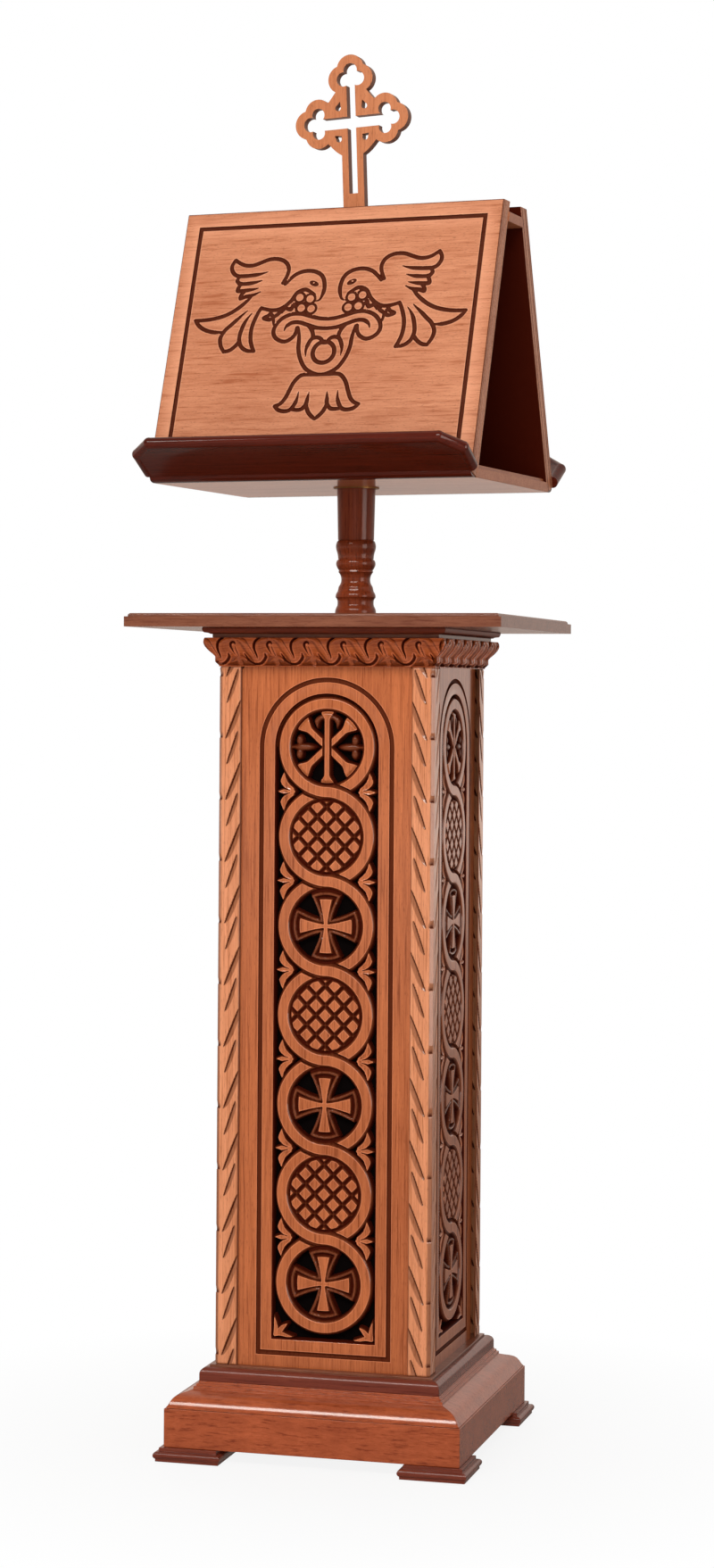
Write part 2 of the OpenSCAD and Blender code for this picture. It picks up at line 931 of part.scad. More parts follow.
// Cross with budded arms, drawn upright round the middle of its arms
bud_end = 17.6;
bud_side = 17.1;
bud_back = 12.6;
bud_apart = 13.3;
top_bud_apart = 11.9;
hole_end = 8.7;
hole_side = 8;
hole_back = 10.4;
hole_apart = 11;
top_hole_apart = 9.2;
hole_inset = 11.3;
slot_across = 11;
slot_up = 14.2;
slot_drop = 1.6;
slot_foot = 89;
cross_middle = z_head + (board_length + board_thick * lean_run) * cos(board_lean) + cross_rise;
cross_foot = cross_middle - z_spreader - spreader_thick;

// The three lobes of one arm's end, with the arm pointing up
module lobes(reach, tip, flank, back, apart) {
    translate([0, reach - tip])
        circle(r = tip);
    for (s = [-1, 1])
        translate([s * apart, reach - tip - back])
            circle(r = flank);
}

module on_arms() {
    for (a = [90, -90])
        rotate(a) children();
}

module cross_outline() {
    lobes(cross_top_reach, bud_end, bud_side, bud_back - 0.6, top_bud_apart);
    on_arms() lobes(cross_arm_reach, bud_end, bud_side, bud_back, bud_apart);
    translate([-cross_stem / 2, -cross_foot - 5])
        square([cross_stem, cross_foot + 45]);
    polygon([
        [-38, 20], [-28.8, 26.2], [-19.8, 37.4], [19.8, 37.4], [28.8, 26.2], [38, 20],
        [38, -20], [29.5, -27.5], [26.5, -31], [22, -35.5], [17.5, -39], [cross_stem / 2, -41.3],
        [-cross_stem / 2, -41.3], [-17.5, -39], [-22, -35.5], [-26.5, -31], [-29.5, -27.5], [-38, -20]
    ]);
}

module teardrop(x, y, height) {
    scale([x, y])
        translate([17.2, height]) {
            circle(r = 3.6);
            children();
        }
}

module cross_piercing() {
    lobes(cross_top_reach - hole_inset + hole_end - 8, hole_end, hole_end, hole_back, top_hole_apart);
    on_arms() lobes(cross_arm_reach - hole_inset, hole_end, hole_side, hole_back, hole_apart);
    translate([-slot_across / 2, -slot_foot])
        square([slot_across, slot_foot + 60]);
    translate([-50, -slot_drop - slot_up / 2])
        square([100, slot_up]);
    for (x = [-1, 1]) {
        teardrop(x, 1, 17.2) polygon([[-3.5, 0.3], [-2.6, 7.6], [3.2, 1.6]]);
        teardrop(x, -1, 21.2) polygon([[-2.7, 2.3], [-3.5, -3.8], [5.2, -4.6], [2.3, 2.7]]);
    }
}

module leaning_cross() {
    intersection() {
        translate([0, -cross_foot])
            rotate(cross_lean)
                translate([0, cross_foot])
                    difference() {
                        cross_outline();
                        cross_piercing();
                    }
        translate([-cross_foot, -cross_foot])
            square([2 * cross_foot, cross_foot + 2 * cross_top_reach]);
    }
}

module cross() {
    tenon = spreader_thick - 1;
    color(oak)
        on_head()
            translate([0, 0, cross_middle]) {
                rotate([90, 0, 0])
                    linear_extrude(height = cross_thick, center = true)
                        leaning_cross();
                translate([-mortise_width / 2, -mortise_thick / 2, -cross_foot - tenon])
                    cube([mortise_width, mortise_thick, tenon + 1]);
            }
}

// The sub-parts, each drawn once
for (k = [0:3]) {
    side(k) foot();
    side(k) plinth_board();
    side(k) shoulder();
    side(k) base_bead();
    side(k) post();
    side(k) carved_panel();
    side(k) backing();
    side(k) crown();
    side(k) bed_moulding();
}
for (k = [0:1]) {
    on_head() side(2 * k) book_board();
    on_head() side(2 * k) ledge();
    on_head() side(2 * k) ledge_cleat();
}
plinth_corner_blocks();
foot_screws();
cabinet_floor();
sub_top();
table_top();
table_screws();
column_socket();
column_baluster();
column_shaft();
thrust_washer();
pivot_bolt();
pivot_bush();
pivot_washer();
pivot_nut();
head_base();
top_spreader();
cross();
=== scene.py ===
"""Dresses a revolving carved lectern: pierced cabinet panels, gouged posts, a leaf crown,
an incised book rest and a budded cross, all worked out as surfaces and cut along their carved edges."""

import math

import bmesh
import bpy
import numpy as np
from bpy.props import FloatProperty, FloatVectorProperty, PointerProperty
from mathutils import Matrix, Vector


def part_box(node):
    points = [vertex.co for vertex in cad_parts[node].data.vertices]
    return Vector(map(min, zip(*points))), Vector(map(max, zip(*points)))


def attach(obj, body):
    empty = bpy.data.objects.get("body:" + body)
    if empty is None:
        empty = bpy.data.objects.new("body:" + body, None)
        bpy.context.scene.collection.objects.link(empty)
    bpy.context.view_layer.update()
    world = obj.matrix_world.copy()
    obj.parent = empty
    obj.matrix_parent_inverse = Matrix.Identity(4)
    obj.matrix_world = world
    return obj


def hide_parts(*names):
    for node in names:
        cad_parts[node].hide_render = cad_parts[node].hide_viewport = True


bl_info = {
    "name": "Carved revolving lectern",
    "version": (1, 0, 0),
    "blender": (4, 5, 0),
    "location": "View3D > Sidebar > Lectern",
    "description": "Builds the carved surfaces, finishes and studio of a revolving lectern",
    "category": "Object",
}

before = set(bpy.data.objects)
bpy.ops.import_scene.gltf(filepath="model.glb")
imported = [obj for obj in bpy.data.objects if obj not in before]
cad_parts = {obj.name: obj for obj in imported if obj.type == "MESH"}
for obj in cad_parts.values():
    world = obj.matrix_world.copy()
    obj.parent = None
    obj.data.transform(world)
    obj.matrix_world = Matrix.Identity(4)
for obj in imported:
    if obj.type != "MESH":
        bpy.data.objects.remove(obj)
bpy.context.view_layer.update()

MM = 0.001
SIDES = ("front", "right", "back", "left")
CORNERS = ("front_left", "front_right", "back_right", "back_left")


def millimetres(node):
    """The lowest and highest corner of a frame node, in millimetres."""
    low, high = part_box(node)
    return np.array(low) / MM, np.array(high) / MM


panel_low, panel_high = millimetres("panel_front")
post_low, post_high = millimetres("post_front_right")
crown_low, crown_high = millimetres("crown_front")

# Places on the cabinet, in millimetres
PANEL_FACE = -panel_low[1]
PANEL_FOOT = panel_low[2]
PANEL_TOP = panel_high[2]
PANEL_REACH = post_low[0]
POST_FACE = post_high[0]
GROUND_REACH = 112.2
CARVED_DEPTH = PANEL_FACE - GROUND_REACH
RING_COUNT = 7
RING_PITCH = 106.13
TOP_RING = PANEL_FOOT + 738.0
OPENING_REACH = 62.0
OPENING_FOOT = PANEL_FOOT + 34.5
# How strongly a painted highlight lightens the edge of a flat top beside a cut
PAINTED_EDGE_HIGHLIGHT = 0.6

# The book rest's own frame, in millimetres and degrees
HEAD_TURN = -5.9
HEAD_SHIFT = -2.5
HEAD_LEVEL = 1162.0
BOARD_LEAN = 18.8
BOARD_FOOT_REACH = 135.2
BOARD_THICK = 22.5
BOARD_REACH = 205.0
BOARD_LENGTH = 349.0


# Arrays of points and triangles


def lattice_of(across, up):
    """Points of a rectangular grid over two rising lists of values, and its triangles."""
    x, y = np.meshgrid(across, up)
    points = np.stack([x.ravel(), y.ravel()], 1)
    cols, rows = len(across), len(up)
    i, j = np.meshgrid(np.arange(cols - 1), np.arange(rows - 1))
    a = (j * cols + i).ravel()
    even = ((i + j) % 2 == 0).ravel()
    lower = np.where(
        even[:, None],
        np.stack([a, a + 1, a + cols + 1], 1),
        np.stack([a, a + 1, a + cols], 1),
    )
    upper = np.where(
        even[:, None],
        np.stack([a, a + cols + 1, a + cols], 1),
        np.stack([a + 1, a + cols + 1, a + cols], 1),
    )
    return points, np.concatenate([lower, upper])


def quads(rows, width, closed=False):
    """Faces between neighbouring rows of points, and from the last row to the first if closed."""
    i, j = np.meshgrid(np.arange(width - 1), np.arange(rows if closed else rows - 1))
    a = (j * width + i).ravel()
    b = ((j + 1) % rows * width + i).ravel()
    return np.stack([a, a + 1, b + 1, b], 1)


def split_along(points, faces, measure, near=0.12):
    """Cuts the triangles along the curve where measure(points) is zero. Points that lie within `near`
    of the curve are taken as on it, and every edge that crosses it gets a new point, at the share
        a / (a - b), less measure / (b - a) twice, with a and b the measure at the edge's ends."""
    value = measure(points)
    value = np.where(np.abs(value) < near, 0.0, value)
    ends = faces[:, [0, 1, 1, 2, 2, 0]].reshape(-1, 3, 2)
    crossing = value[ends[..., 0]] * value[ends[..., 1]] < 0
    low, high = ends.min(2), ends.max(2)
    keys = (low * len(points) + high)[crossing]
    if keys.size == 0:
        return points, faces
    unique, place = np.unique(keys, return_inverse=True)
    a, b = unique // len(points), unique % len(points)
    share = value[a] / (value[a] - value[b])
    for _ in range(2):
        middle = points[a] + (points[b] - points[a]) * share[:, None]
        miss = measure(middle)
        share = np.clip(share - miss / (value[b] - value[a]), 0.03, 0.97)
    middle = points[a] + (points[b] - points[a]) * share[:, None]
    new = np.full(crossing.shape, -1)
    new[crossing] = len(points) + place
    points = np.concatenate([points, middle])
    count = crossing.sum(1)
    parts = [faces[count == 0]]
    for turn in range(3):
        e0, e1, e2 = turn, (turn + 1) % 3, (turn + 2) % 3
        i, j, k = faces[:, e0], faces[:, e1], faces[:, e2]
        one = (count == 1) & crossing[:, e0]
        m = new[one, e0]
        parts.append(np.stack([i[one], m, k[one]], 1))
        parts.append(np.stack([m, j[one], k[one]], 1))
        two = (count == 2) & ~crossing[:, e1]
        m, n = new[two, e0], new[two, e2]
        parts.append(np.stack([i[two], m, n], 1))
        parts.append(np.stack([m, j[two], k[two]], 1))
        parts.append(np.stack([m, k[two], n], 1))
    return points, np.concatenate(parts)


def keep_where(points, faces, measure):
    """Keeps the triangles whose middle has a positive measure, and drops the points that none uses."""
    middle = points[faces].mean(1)
    faces = faces[measure(middle) > 0]
    used = np.unique(faces)
    place = np.zeros(len(points), int)
    place[used] = np.arange(len(used))
    return points[used], place[faces]


def rim_edges(faces):
    """The edges that belong to one triangle only, each in its triangle's own direction."""
    edges = faces[:, [0, 1, 1, 2, 2, 0]].reshape(-1, 2)
    size = faces.max() + 1
    keys = edges.min(1) * size + edges.max(1)
    _, place, count = np.unique(keys, return_inverse=True, return_counts=True)
    return edges[count[place] == 1]


def along_curve(controls, steps):
    """A smooth line through the control points, each span a cubic set by its four nearest points:
        0.5 * (2b + (c - a) t + (2a - 5b + 4c - d) t^2 + (3b - a - 3c + d) t^3)"""
    p = np.array(controls, float)
    p = np.concatenate([p[:1], p, p[-1:]])
    t = (np.arange(steps) / steps)[:, None, None]
    a, b, c, d = p[:-3], p[1:-2], p[2:-1], p[3:]
    bend = 2 * a - 5 * b + 4 * c - d
    twist = 3 * b - a - 3 * c + d
    line = 0.5 * (2 * b + (c - a) * t + bend * t**2 + twist * t**3)
    line = line.transpose(1, 0, 2).reshape(-1, p.shape[1])
    return np.concatenate([line, p[-2:-1]])


def distance_to_line(points, line, reach, halves):
    """The distance of each point from a polyline, less the line's half width there, up to `reach`."""
    result = np.full(len(points), reach)
    near = np.all((points > line.min(0) - reach) & (points < line.max(0) + reach), axis=1)
    p = points[near][:, None]
    a, b = line[:-1][None], line[1:][None]
    along = b - a
    share = np.clip(((p - a) * along).sum(2) / np.maximum((along**2).sum(2), 1e-9), 0, 1)
    gap = np.linalg.norm(p - a - along * share[..., None], axis=2)
    gap = gap - (halves[:-1][None] * (1 - share) + halves[1:][None] * share)
    if gap.size:
        result[near] = np.minimum(gap.min(1), reach)
    return result


def smooth_step(value, low, high):
    """Rises from 0 at low to 1 at high with flat ends."""
    t = np.clip((value - low) / (high - low), 0, 1)
    return t * t * (3 - 2 * t)


# From arrays to objects

# What counts as one point, as a flat joint and as a sharp edge, in metres and degrees
DOUBLES_WITHIN = 0.00002
FLAT_WITHIN = 1.0
SHARP_FROM = 32.0


def make_object(name, vertices, faces, material, body, node, stain, sharp=34.0):
    """Makes a piece of the given millimetre points, rides it on its body, and lets it stand for a frame
    node. The last argument is one value for each point of each face: below 0 for a painted highlight on
    an edge, 0 for bare wood and 1 for dark patina with painted shade."""
    mesh = bpy.data.meshes.new(name)
    faces = np.asarray(faces)
    mesh.vertices.add(len(vertices))
    mesh.vertices.foreach_set("co", (np.asarray(vertices) * MM).astype(np.float32).ravel())
    mesh.loops.add(faces.size)
    mesh.loops.foreach_set("vertex_index", faces.ravel().astype(np.int32))
    mesh.polygons.add(len(faces))
    mesh.polygons.foreach_set("loop_start", np.arange(0, faces.size, faces.shape[1], dtype=np.int32))
    mesh.update(calc_edges=True)
    layer = mesh.attributes.new("stain", "FLOAT", "CORNER")
    layer.data.foreach_set("value", np.asarray(stain, np.float32).ravel())
    mesh.polygons.foreach_set("use_smooth", np.ones(len(faces), bool))
    mesh.set_sharp_from_angle(angle=math.radians(sharp))
    piece = bpy.data.objects.new(name, mesh)
    bpy.context.scene.collection.objects.link(piece)
    mesh.materials.append(material)
    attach(piece, body)
    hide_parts(node)
    return piece


def softened(node, material, body, width):
    """A copy of a frame node with its doubles merged, its flat faces joined, and its edges rounded off."""
    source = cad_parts[node]
    mesh = source.data.copy()
    work = bmesh.new()
    work.from_mesh(mesh)
    bmesh.ops.remove_doubles(work, verts=work.verts, dist=DOUBLES_WITHIN)
    bmesh.ops.dissolve_limit(
        work, angle_limit=math.radians(FLAT_WITHIN), verts=work.verts, edges=work.edges
    )
    work.to_mesh(mesh)
    work.free()
    if "custom_normal" in mesh.attributes:
        mesh.attributes.remove(mesh.attributes["custom_normal"])
    mesh.materials.clear()
    mesh.materials.append(material)
    mesh.polygons.foreach_set("use_smooth", np.ones(len(mesh.polygons), bool))
    piece = bpy.data.objects.new(node + "_finished", mesh)
    bpy.context.scene.collection.objects.link(piece)
    bevel = piece.modifiers.new("edges", "BEVEL")
    bevel.width = width * MM
    bevel.segments = 2
    bevel.limit_method = "ANGLE"
    bevel.angle_limit = math.radians(SHARP_FROM)
    bevel.harden_normals = True
    mesh.set_sharp_from_angle(angle=math.radians(SHARP_FROM))
    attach(piece, body)
    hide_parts(node)
    return piece


def outward(piece, open_rings=()):
    """Adds a face over each open ring of points, and turns all faces outwards."""
    work = bmesh.new()
    work.from_mesh(piece.data)
    work.verts.ensure_lookup_table()
    for ring in open_rings:
        work.faces.new([work.verts[i] for i in ring])
    bmesh.ops.recalc_face_normals(work, faces=work.faces)
    work.to_mesh(piece.data)
    work.free()


def spun(points, degrees):
    """Points turned about the upright axis."""
    a = math.radians(degrees)
    rows = np.array([[math.cos(a), -math.sin(a), 0], [math.sin(a), math.cos(a), 0], [0, 0, 1]])
    return points @ rows.T


def on_cabinet(flat, height, face, quarter):
    """Places x, z and outward height from a face plane on one side of the cabinet."""
    front = np.stack([flat[:, 0], -(face + height), flat[:, 1]], 1)
    return spun(front, 90 * quarter)


def on_board(flat, out, back):
    """Places x, slope and height out from a board's inner face on the front or the back board."""
    lean = math.radians(BOARD_LEAN)
    y = -BOARD_FOOT_REACH + flat[:, 1] * math.sin(lean) - out * math.cos(lean)
    z = HEAD_LEVEL + flat[:, 1] * math.cos(lean) + out * math.sin(lean)
    square = np.stack([flat[:, 0], y, z], 1)
    if back:
        square = square * [-1, -1, 1]
    return spun(square + [HEAD_SHIFT, 0, 0], HEAD_TURN)


# Finishes


def linear(shown):
    """The linear colour of a colour as a screen shows it, 0 to 255."""
    c = np.array(shown) / 255
    return tuple(float(v) for v in np.where(c <= 0.04045, c / 12.92, ((c + 0.055) / 1.055) ** 2.4))


def colour_property(label, use, shown):
    """A colour setting whose default is given as a screen shows it, 0 to 255."""
    return FloatVectorProperty(
        name=label, description=use, default=linear(shown), min=0, max=1, subtype="COLOR"
    )


def length_property(label, use, size):
    """A size setting whose default is given in millimetres."""
    return FloatProperty(name=label, description=use, default=size * MM, min=0, unit="LENGTH")


def power_property(label, use, watts):
    """A lamp's power setting."""
    return FloatProperty(name=label, description=use, default=watts, unit="POWER")


class LECTERN_colours(bpy.types.PropertyGroup):
    """Colours of the woods, the metals and the backing boards"""

    panel_light: colour_property("Panel, light", "Pale wood of the carved panels", (202, 114, 68))
    panel_deep: colour_property("Panel, deep", "Dark grain of the carved panels", (131, 61, 30))
    post_light: colour_property("Post, light", "Pale wood of the corner posts", (234, 155, 112))
    post_deep: colour_property("Post, deep", "Dark grain of the corner posts", (178, 102, 60))
    crown_light: colour_property("Crown, light", "Pale wood of the leaf crown", (204, 102, 50))
    crown_deep: colour_property("Crown, deep", "Dark grain of the leaf crown", (148, 60, 25))
    board_light: colour_property("Board, light", "Pale wood of the book boards", (214, 144, 108))
    board_deep: colour_property("Board, deep", "Dark grain of the book boards", (168, 95, 62))
    rest_light: colour_property("Rest, light", "Pale wood under the book boards", (196, 120, 80))
    rest_deep: colour_property("Rest, deep", "Dark grain under the book boards", (160, 86, 52))
    cross_light: colour_property("Cross, light", "Pale wood of the cross", (206, 131, 89))
    cross_deep: colour_property("Cross, deep", "Dark grain of the cross", (178, 104, 65))
    plinth_light: colour_property("Plinth, light", "Pale wood of the plinth", (184, 92, 54))
    plinth_deep: colour_property("Plinth, deep", "Dark grain of the plinth", (122, 49, 24))
    table_light: colour_property("Table, light", "Pale wood of the table", (138, 84, 61))
    table_deep: colour_property("Table, deep", "Dark grain of the table", (98, 48, 32))
    moulding_light: colour_property("Moulding, light", "Lighter tone of the feet and beads", (128, 57, 38))
    moulding_deep: colour_property("Moulding, deep", "Deeper tone of the feet and beads", (87, 31, 20))
    bed_light: colour_property("Bed, light", "Lighter tone of the moulding under the table", (126, 52, 28))
    bed_deep: colour_property("Bed, deep", "Deeper tone of the moulding under the table", (86, 30, 15))
    ledge_light: colour_property("Ledge, light", "Lighter tone of the book ledges", (92, 27, 12))
    ledge_deep: colour_property("Ledge, deep", "Deeper tone of the book ledges", (56, 13, 5))
    column_light: colour_property("Column, light", "Lighter tone of the turned column", (140, 62, 33))
    column_deep: colour_property("Column, deep", "Deeper tone of the turned column", (88, 33, 16))
    # The patina colour darkens the pores, and through each piece's attribute it darkens the cuts as patina
    # with painted shade
    patina: colour_property("Patina", "Stain left in the cuts of the pale woods", (66, 18, 7))
    dark_patina: colour_property("Dark patina", "Stain left in the dark woods", (34, 10, 6))
    # Near black, so that the board behind the piercings also paints the shade inside the cabinet
    backing: colour_property("Backing", "Boards behind the piercings", (8, 4, 4))
    steel: colour_property("Steel", "Screws, bolt, washer and nut", (150, 150, 152))
    bronze: colour_property("Bronze", "Bush and thrust washer", (150, 110, 66))


class LECTERN_cuts(bpy.types.PropertyGroup):
    """Sizes of the carved and incised cuts and of the softened edges"""

    groove_width: length_property("Panel groove", "Width of the groove round a panel's opening", 5.8)
    groove_depth: length_property("Panel groove depth", "Depth of the groove round a panel's opening", 2.7)
    gouge_depth: length_property("Gouge depth", "Depth of the longest cut on a corner post", 2.6)
    chamfer: length_property("Post chamfer", "Size of the bevel along a corner post", 3.6)
    leaf_cut: length_property("Leaf cut depth", "Depth of the deepest cut between the crown's leaves", 3.4)
    line_width: length_property("Incised line width", "Width of the lines on the book boards", 5.5)
    line_depth: length_property("Incised line depth", "Depth of the lines on the book boards", 2.0)
    edge: length_property("Edge rounding", "Rounding of the plain boards and mouldings", 0.7)


class Wiring:
    """Adds nodes to a tree and joins them, with plain words for sockets."""

    def __init__(self, tree):
        self.tree = tree

    def add(self, kind, sockets=None, **settings):
        """A new node with the given settings, and a value or a link for each of the given sockets."""
        node = self.tree.nodes.new(kind)
        for key, value in settings.items():
            setattr(node, key, value)
        for key, value in (sockets or {}).items():
            if isinstance(value, bpy.types.NodeSocket):
                self.tree.links.new(value, node.inputs[key])
            else:
                node.inputs[key].default_value = value
        return node

    def join(self, source, target):
        self.tree.links.new(source, target)

    def calc(self, operation, a, b):
        return self.add("ShaderNodeMath", {0: a, 1: b}, operation=operation).outputs[0]

    def weighted(self, *terms):
        """The sum of value * weight over the given pairs."""
        total = None
        for value, weight in terms:
            part = self.calc("MULTIPLY", value, weight)
            total = part if total is None else self.calc("ADD", total, part)
        return total

    def ranged(self, value, low, high, to_low=0.0, to_high=1.0):
        """The value carried from one range to another, and held at its ends."""
        sockets = {0: value, 1: low, 2: high, 3: to_low, 4: to_high}
        return self.add("ShaderNodeMapRange", sockets).outputs[0]

    def noise(self, place, scale, detail, roughness=0.5):
        sockets = {"Vector": place, "Scale": scale, "Detail": detail, "Roughness": roughness}
        return self.add("ShaderNodeTexNoise", sockets).outputs[0]

    def stretched(self, place, along):
        """The place with its first axis scaled, so that a noise is drawn out along it."""
        sockets = {0: place, 1: (along, 1, 1)}
        return self.add("ShaderNodeVectorMath", sockets, operation="MULTIPLY").outputs[0]

    def shader_mix(self, share, a, b):
        """The first node's shader where the share is 0, and the second's where it is 1."""
        return self.add("ShaderNodeMixShader", {0: share, 1: a.outputs[0], 2: b.outputs[0]})

    def mixed(self, share, a, b):
        sockets = {0: share, 6: a, 7: b}
        return self.add("ShaderNodeMix", sockets, data_type="RGBA").outputs[2]


def new_material(name):
    """A material with nodes, its wiring and its main shader."""
    material = bpy.data.materials.new(name)
    material.use_nodes = True
    wire = Wiring(material.node_tree)
    return material, wire, material.node_tree.nodes["Principled BSDF"]


def wood_group():
    """The figure of a wood whose grain runs along the first axis of the given place.
        tone = 0.7 * range(0.7 * slow + 0.7 * fibre + 0.6 * streak + 0.4 * cloud) + 0.45 * lines
        colour = light to deep by tone, with patina in the pores, patina with painted shade where the
        attribute is above 0, and a paler colour as a painted highlight where it is below 0
        height = 0.35 * fibre - pores"""
    tree = bpy.data.node_groups.new("wood figure", "ShaderNodeTree")
    given_sockets = (
        # The Stain socket brings patina with painted shade above 0 and a painted highlight below 0
        ("Place", "NodeSocketVector"), ("Light", "NodeSocketColor"), ("Deep", "NodeSocketColor"),
        ("Patina", "NodeSocketColor"), ("Rim", "NodeSocketColor"), ("Stain", "NodeSocketFloat"),
    )
    for label, kind in given_sockets:
        tree.interface.new_socket(label, in_out="INPUT", socket_type=kind)
    tree.interface.new_socket("Color", in_out="OUTPUT", socket_type="NodeSocketColor")
    tree.interface.new_socket("Height", in_out="OUTPUT", socket_type="NodeSocketFloat")
    wire = Wiring(tree)
    given = wire.add("NodeGroupInput").outputs
    place = given["Place"]

    grain = wire.stretched(place, 0.05)
    slow = wire.noise(grain, 34.0, 4.0, 0.6)
    streak = wire.noise(grain, 150.0, 2.0)
    fibre = wire.noise(grain, 520.0, 3.0, 0.65)
    cloud = wire.noise(place, 9.0, 2.0)
    pores = wire.ranged(wire.noise(wire.stretched(place, 0.12), 1100.0, 1.0, 0.4), 0.60, 0.74)
    lines = wire.ranged(wire.noise(wire.stretched(place, 0.025), 380.0, 2.0, 0.7), 0.53, 0.66)
    tone = wire.weighted((slow, 0.7), (fibre, 0.7), (streak, 0.6), (cloud, 0.4))
    tone = wire.weighted((wire.ranged(tone, 0.88, 1.54), 0.7), (lines, 0.45))

    # Below 0 the attribute paints a highlight; above 0 it darkens with patina and painted shade
    painted_highlight = wire.calc("MAXIMUM", wire.calc("MULTIPLY", given["Stain"], -1.0), 0.0)
    patina_and_painted_shade = wire.calc("MAXIMUM", given["Stain"], 0.0)
    colour = wire.mixed(tone, given["Light"], given["Deep"])
    colour = wire.mixed(wire.calc("MULTIPLY", pores, 0.3), colour, given["Patina"])
    colour = wire.mixed(painted_highlight, colour, given["Rim"])
    colour = wire.mixed(patina_and_painted_shade, colour, given["Patina"])
    height = wire.calc("SUBTRACT", wire.calc("MULTIPLY", fibre, 0.35), pores)
    out = wire.add("NodeGroupOutput")
    wire.join(colour, out.inputs["Color"])
    wire.join(height, out.inputs["Height"])
    return tree


GRAIN_ORDER = {"X": (0, 1, 2), "Z": (2, 0, 1)}
# Painted shade in the varnish: the coat fades out between these two values in deep cuts, for the reflection
# that their walls would block
COAT_SHADED_FROM = 0.68
COAT_SHADED_OUT_AT = 0.86
GRAIN_HEIGHT = 0.0004


def wood(
    name, group, light, deep, patina, along="X", turn=0.0, roughness=0.24, gloss=0.28, bump=0.03, fleck=1.0
):
    """A varnished wood whose grain runs along X or Z, turned about the vertical by `turn` degrees. Its
    fibres are shorter as `fleck` grows. Where the attribute is below 0, edges get a painted highlight in
    the colour 1.45 * light + 0.06. The coat is 2 * gloss, and fades out in deep cuts as the attribute goes
    from 0.68 to 0.86, as painted shade in the varnish for the reflection that the cut's walls would block."""
    material, wire, shader = new_material(name)
    where = wire.add("ShaderNodeTexCoord").outputs["Object"]
    if turn:
        unturn = wire.add("ShaderNodeVectorRotate", {"Vector": where, "Angle": math.radians(-turn)})
        where = unturn.outputs[0]
    parts = wire.add("ShaderNodeSeparateXYZ", {0: where}).outputs
    first, second, third = (parts[axis] for axis in GRAIN_ORDER[along])
    run = wire.calc("MULTIPLY", first, fleck)
    place = wire.add("ShaderNodeCombineXYZ", {0: run, 1: second, 2: third}).outputs[0]
    stain = wire.add("ShaderNodeAttribute", attribute_name="stain").outputs["Fac"]
    # The painted highlight's colour: a paler copy of the light tone
    rim = [min(1.0, 1.45 * part + 0.06) for part in light]
    figure = wire.add(
        "ShaderNodeGroup",
        {
            "Place": place, "Stain": stain, "Light": (*light, 1.0), "Deep": (*deep, 1.0),
            "Patina": (*patina, 1.0), "Rim": (*rim, 1.0),
        },
        node_tree=group,
    ).outputs
    dent = wire.add(
        "ShaderNodeBump", {"Height": figure["Height"], "Strength": bump, "Distance": GRAIN_HEIGHT}
    )
    # The coat fades out in deep cuts as painted shade, for the reflection that the cut's walls would block
    varnish = wire.ranged(stain, COAT_SHADED_FROM, COAT_SHADED_OUT_AT, 2 * gloss, 0.0)
    dull = wire.ranged(figure["Height"], -1.0, 0.4, 0.62, 0.45)
    wire.join(figure["Color"], shader.inputs["Base Color"])
    wire.join(dent.outputs[0], shader.inputs["Normal"])
    wire.join(varnish, shader.inputs["Coat Weight"])
    wire.join(dull, shader.inputs["Roughness"])
    shader.inputs["Coat Roughness"].default_value = roughness
    shader.inputs["Specular IOR Level"].default_value = 0.02
    return material


def mottled(name, colour, roughness, metallic, gloss):
    """A colour clouded by a fine noise, colour * (0.7 + 0.6 * noise), and rougher where it is paler."""
    material, wire, shader = new_material(name)
    where = wire.add("ShaderNodeTexCoord").outputs["Object"]
    noise = wire.noise(where, 240.0, 4.0)
    low = (*(0.7 * part for part in colour), 1.0)
    high = (*(min(1.0, 1.3 * part) for part in colour), 1.0)
    wire.join(wire.mixed(noise, low, high), shader.inputs["Base Color"])
    rough = wire.ranged(noise, 0.0, 1.0, 0.75 * roughness, 1.25 * roughness)
    wire.join(rough, shader.inputs["Roughness"])
    shader.inputs["Metallic"].default_value = metallic
    shader.inputs["Specular IOR Level"].default_value = gloss
    return material


finish = {}


# Carved panels

FAR = 99.0
RING_RADIUS = 52.0
STRAND_HALF = 5.7
SEAM_WIDTH = 5.4
STRAND_WALL = ([-0.9, 0.0, 0.5, 1.5, 2.6, 3.4, 3.9], [0.0, -0.2, -0.7, -1.9, -3.4, -5.2, -CARVED_DEPTH])
STRAND_SEAM = ([0, 1.5, 2.5, 3.3, 4.3, SEAM_WIDTH], [0, -4.6, -2.0, -2.0, -4.6, 0])


def strands(x, z):
    """Signed distances, in the panel's plane, to the flat tops of the linked rings' upper and lower strand.
        distance = |distance from a ring's middle - radius| - half width
        radius = 52 + 1.07 * exp(-(x / 22)^2) where two rings cross, and 52 at both ends of the row
    The upper strand follows the higher ring left of each crossing and the lower ring right of it."""
    steps = (TOP_RING - z) / RING_PITCH
    higher = np.floor(steps)
    has_higher = higher >= 0
    has_lower = higher < RING_COUNT - 1
    swell = RING_RADIUS + 1.07 * np.exp(-((x / 22.0) ** 2))
    from_higher = np.hypot(x, z - (TOP_RING - higher * RING_PITCH))
    from_lower = np.hypot(x, z - (TOP_RING - (higher + 1) * RING_PITCH))
    first = np.abs(from_higher - np.where(has_lower, swell, RING_RADIUS)) - STRAND_HALF
    second = np.abs(from_lower - np.where(has_higher, swell, RING_RADIUS)) - STRAND_HALF
    first = np.where(has_higher, first, FAR)
    second = np.where(has_lower, second, FAR)
    single = ~(has_higher & has_lower)
    over = np.where(single, np.minimum(first, second), np.where(x < 0, first, second))
    under = np.where(single, FAR, np.where(x < 0, second, first))
    return over, under


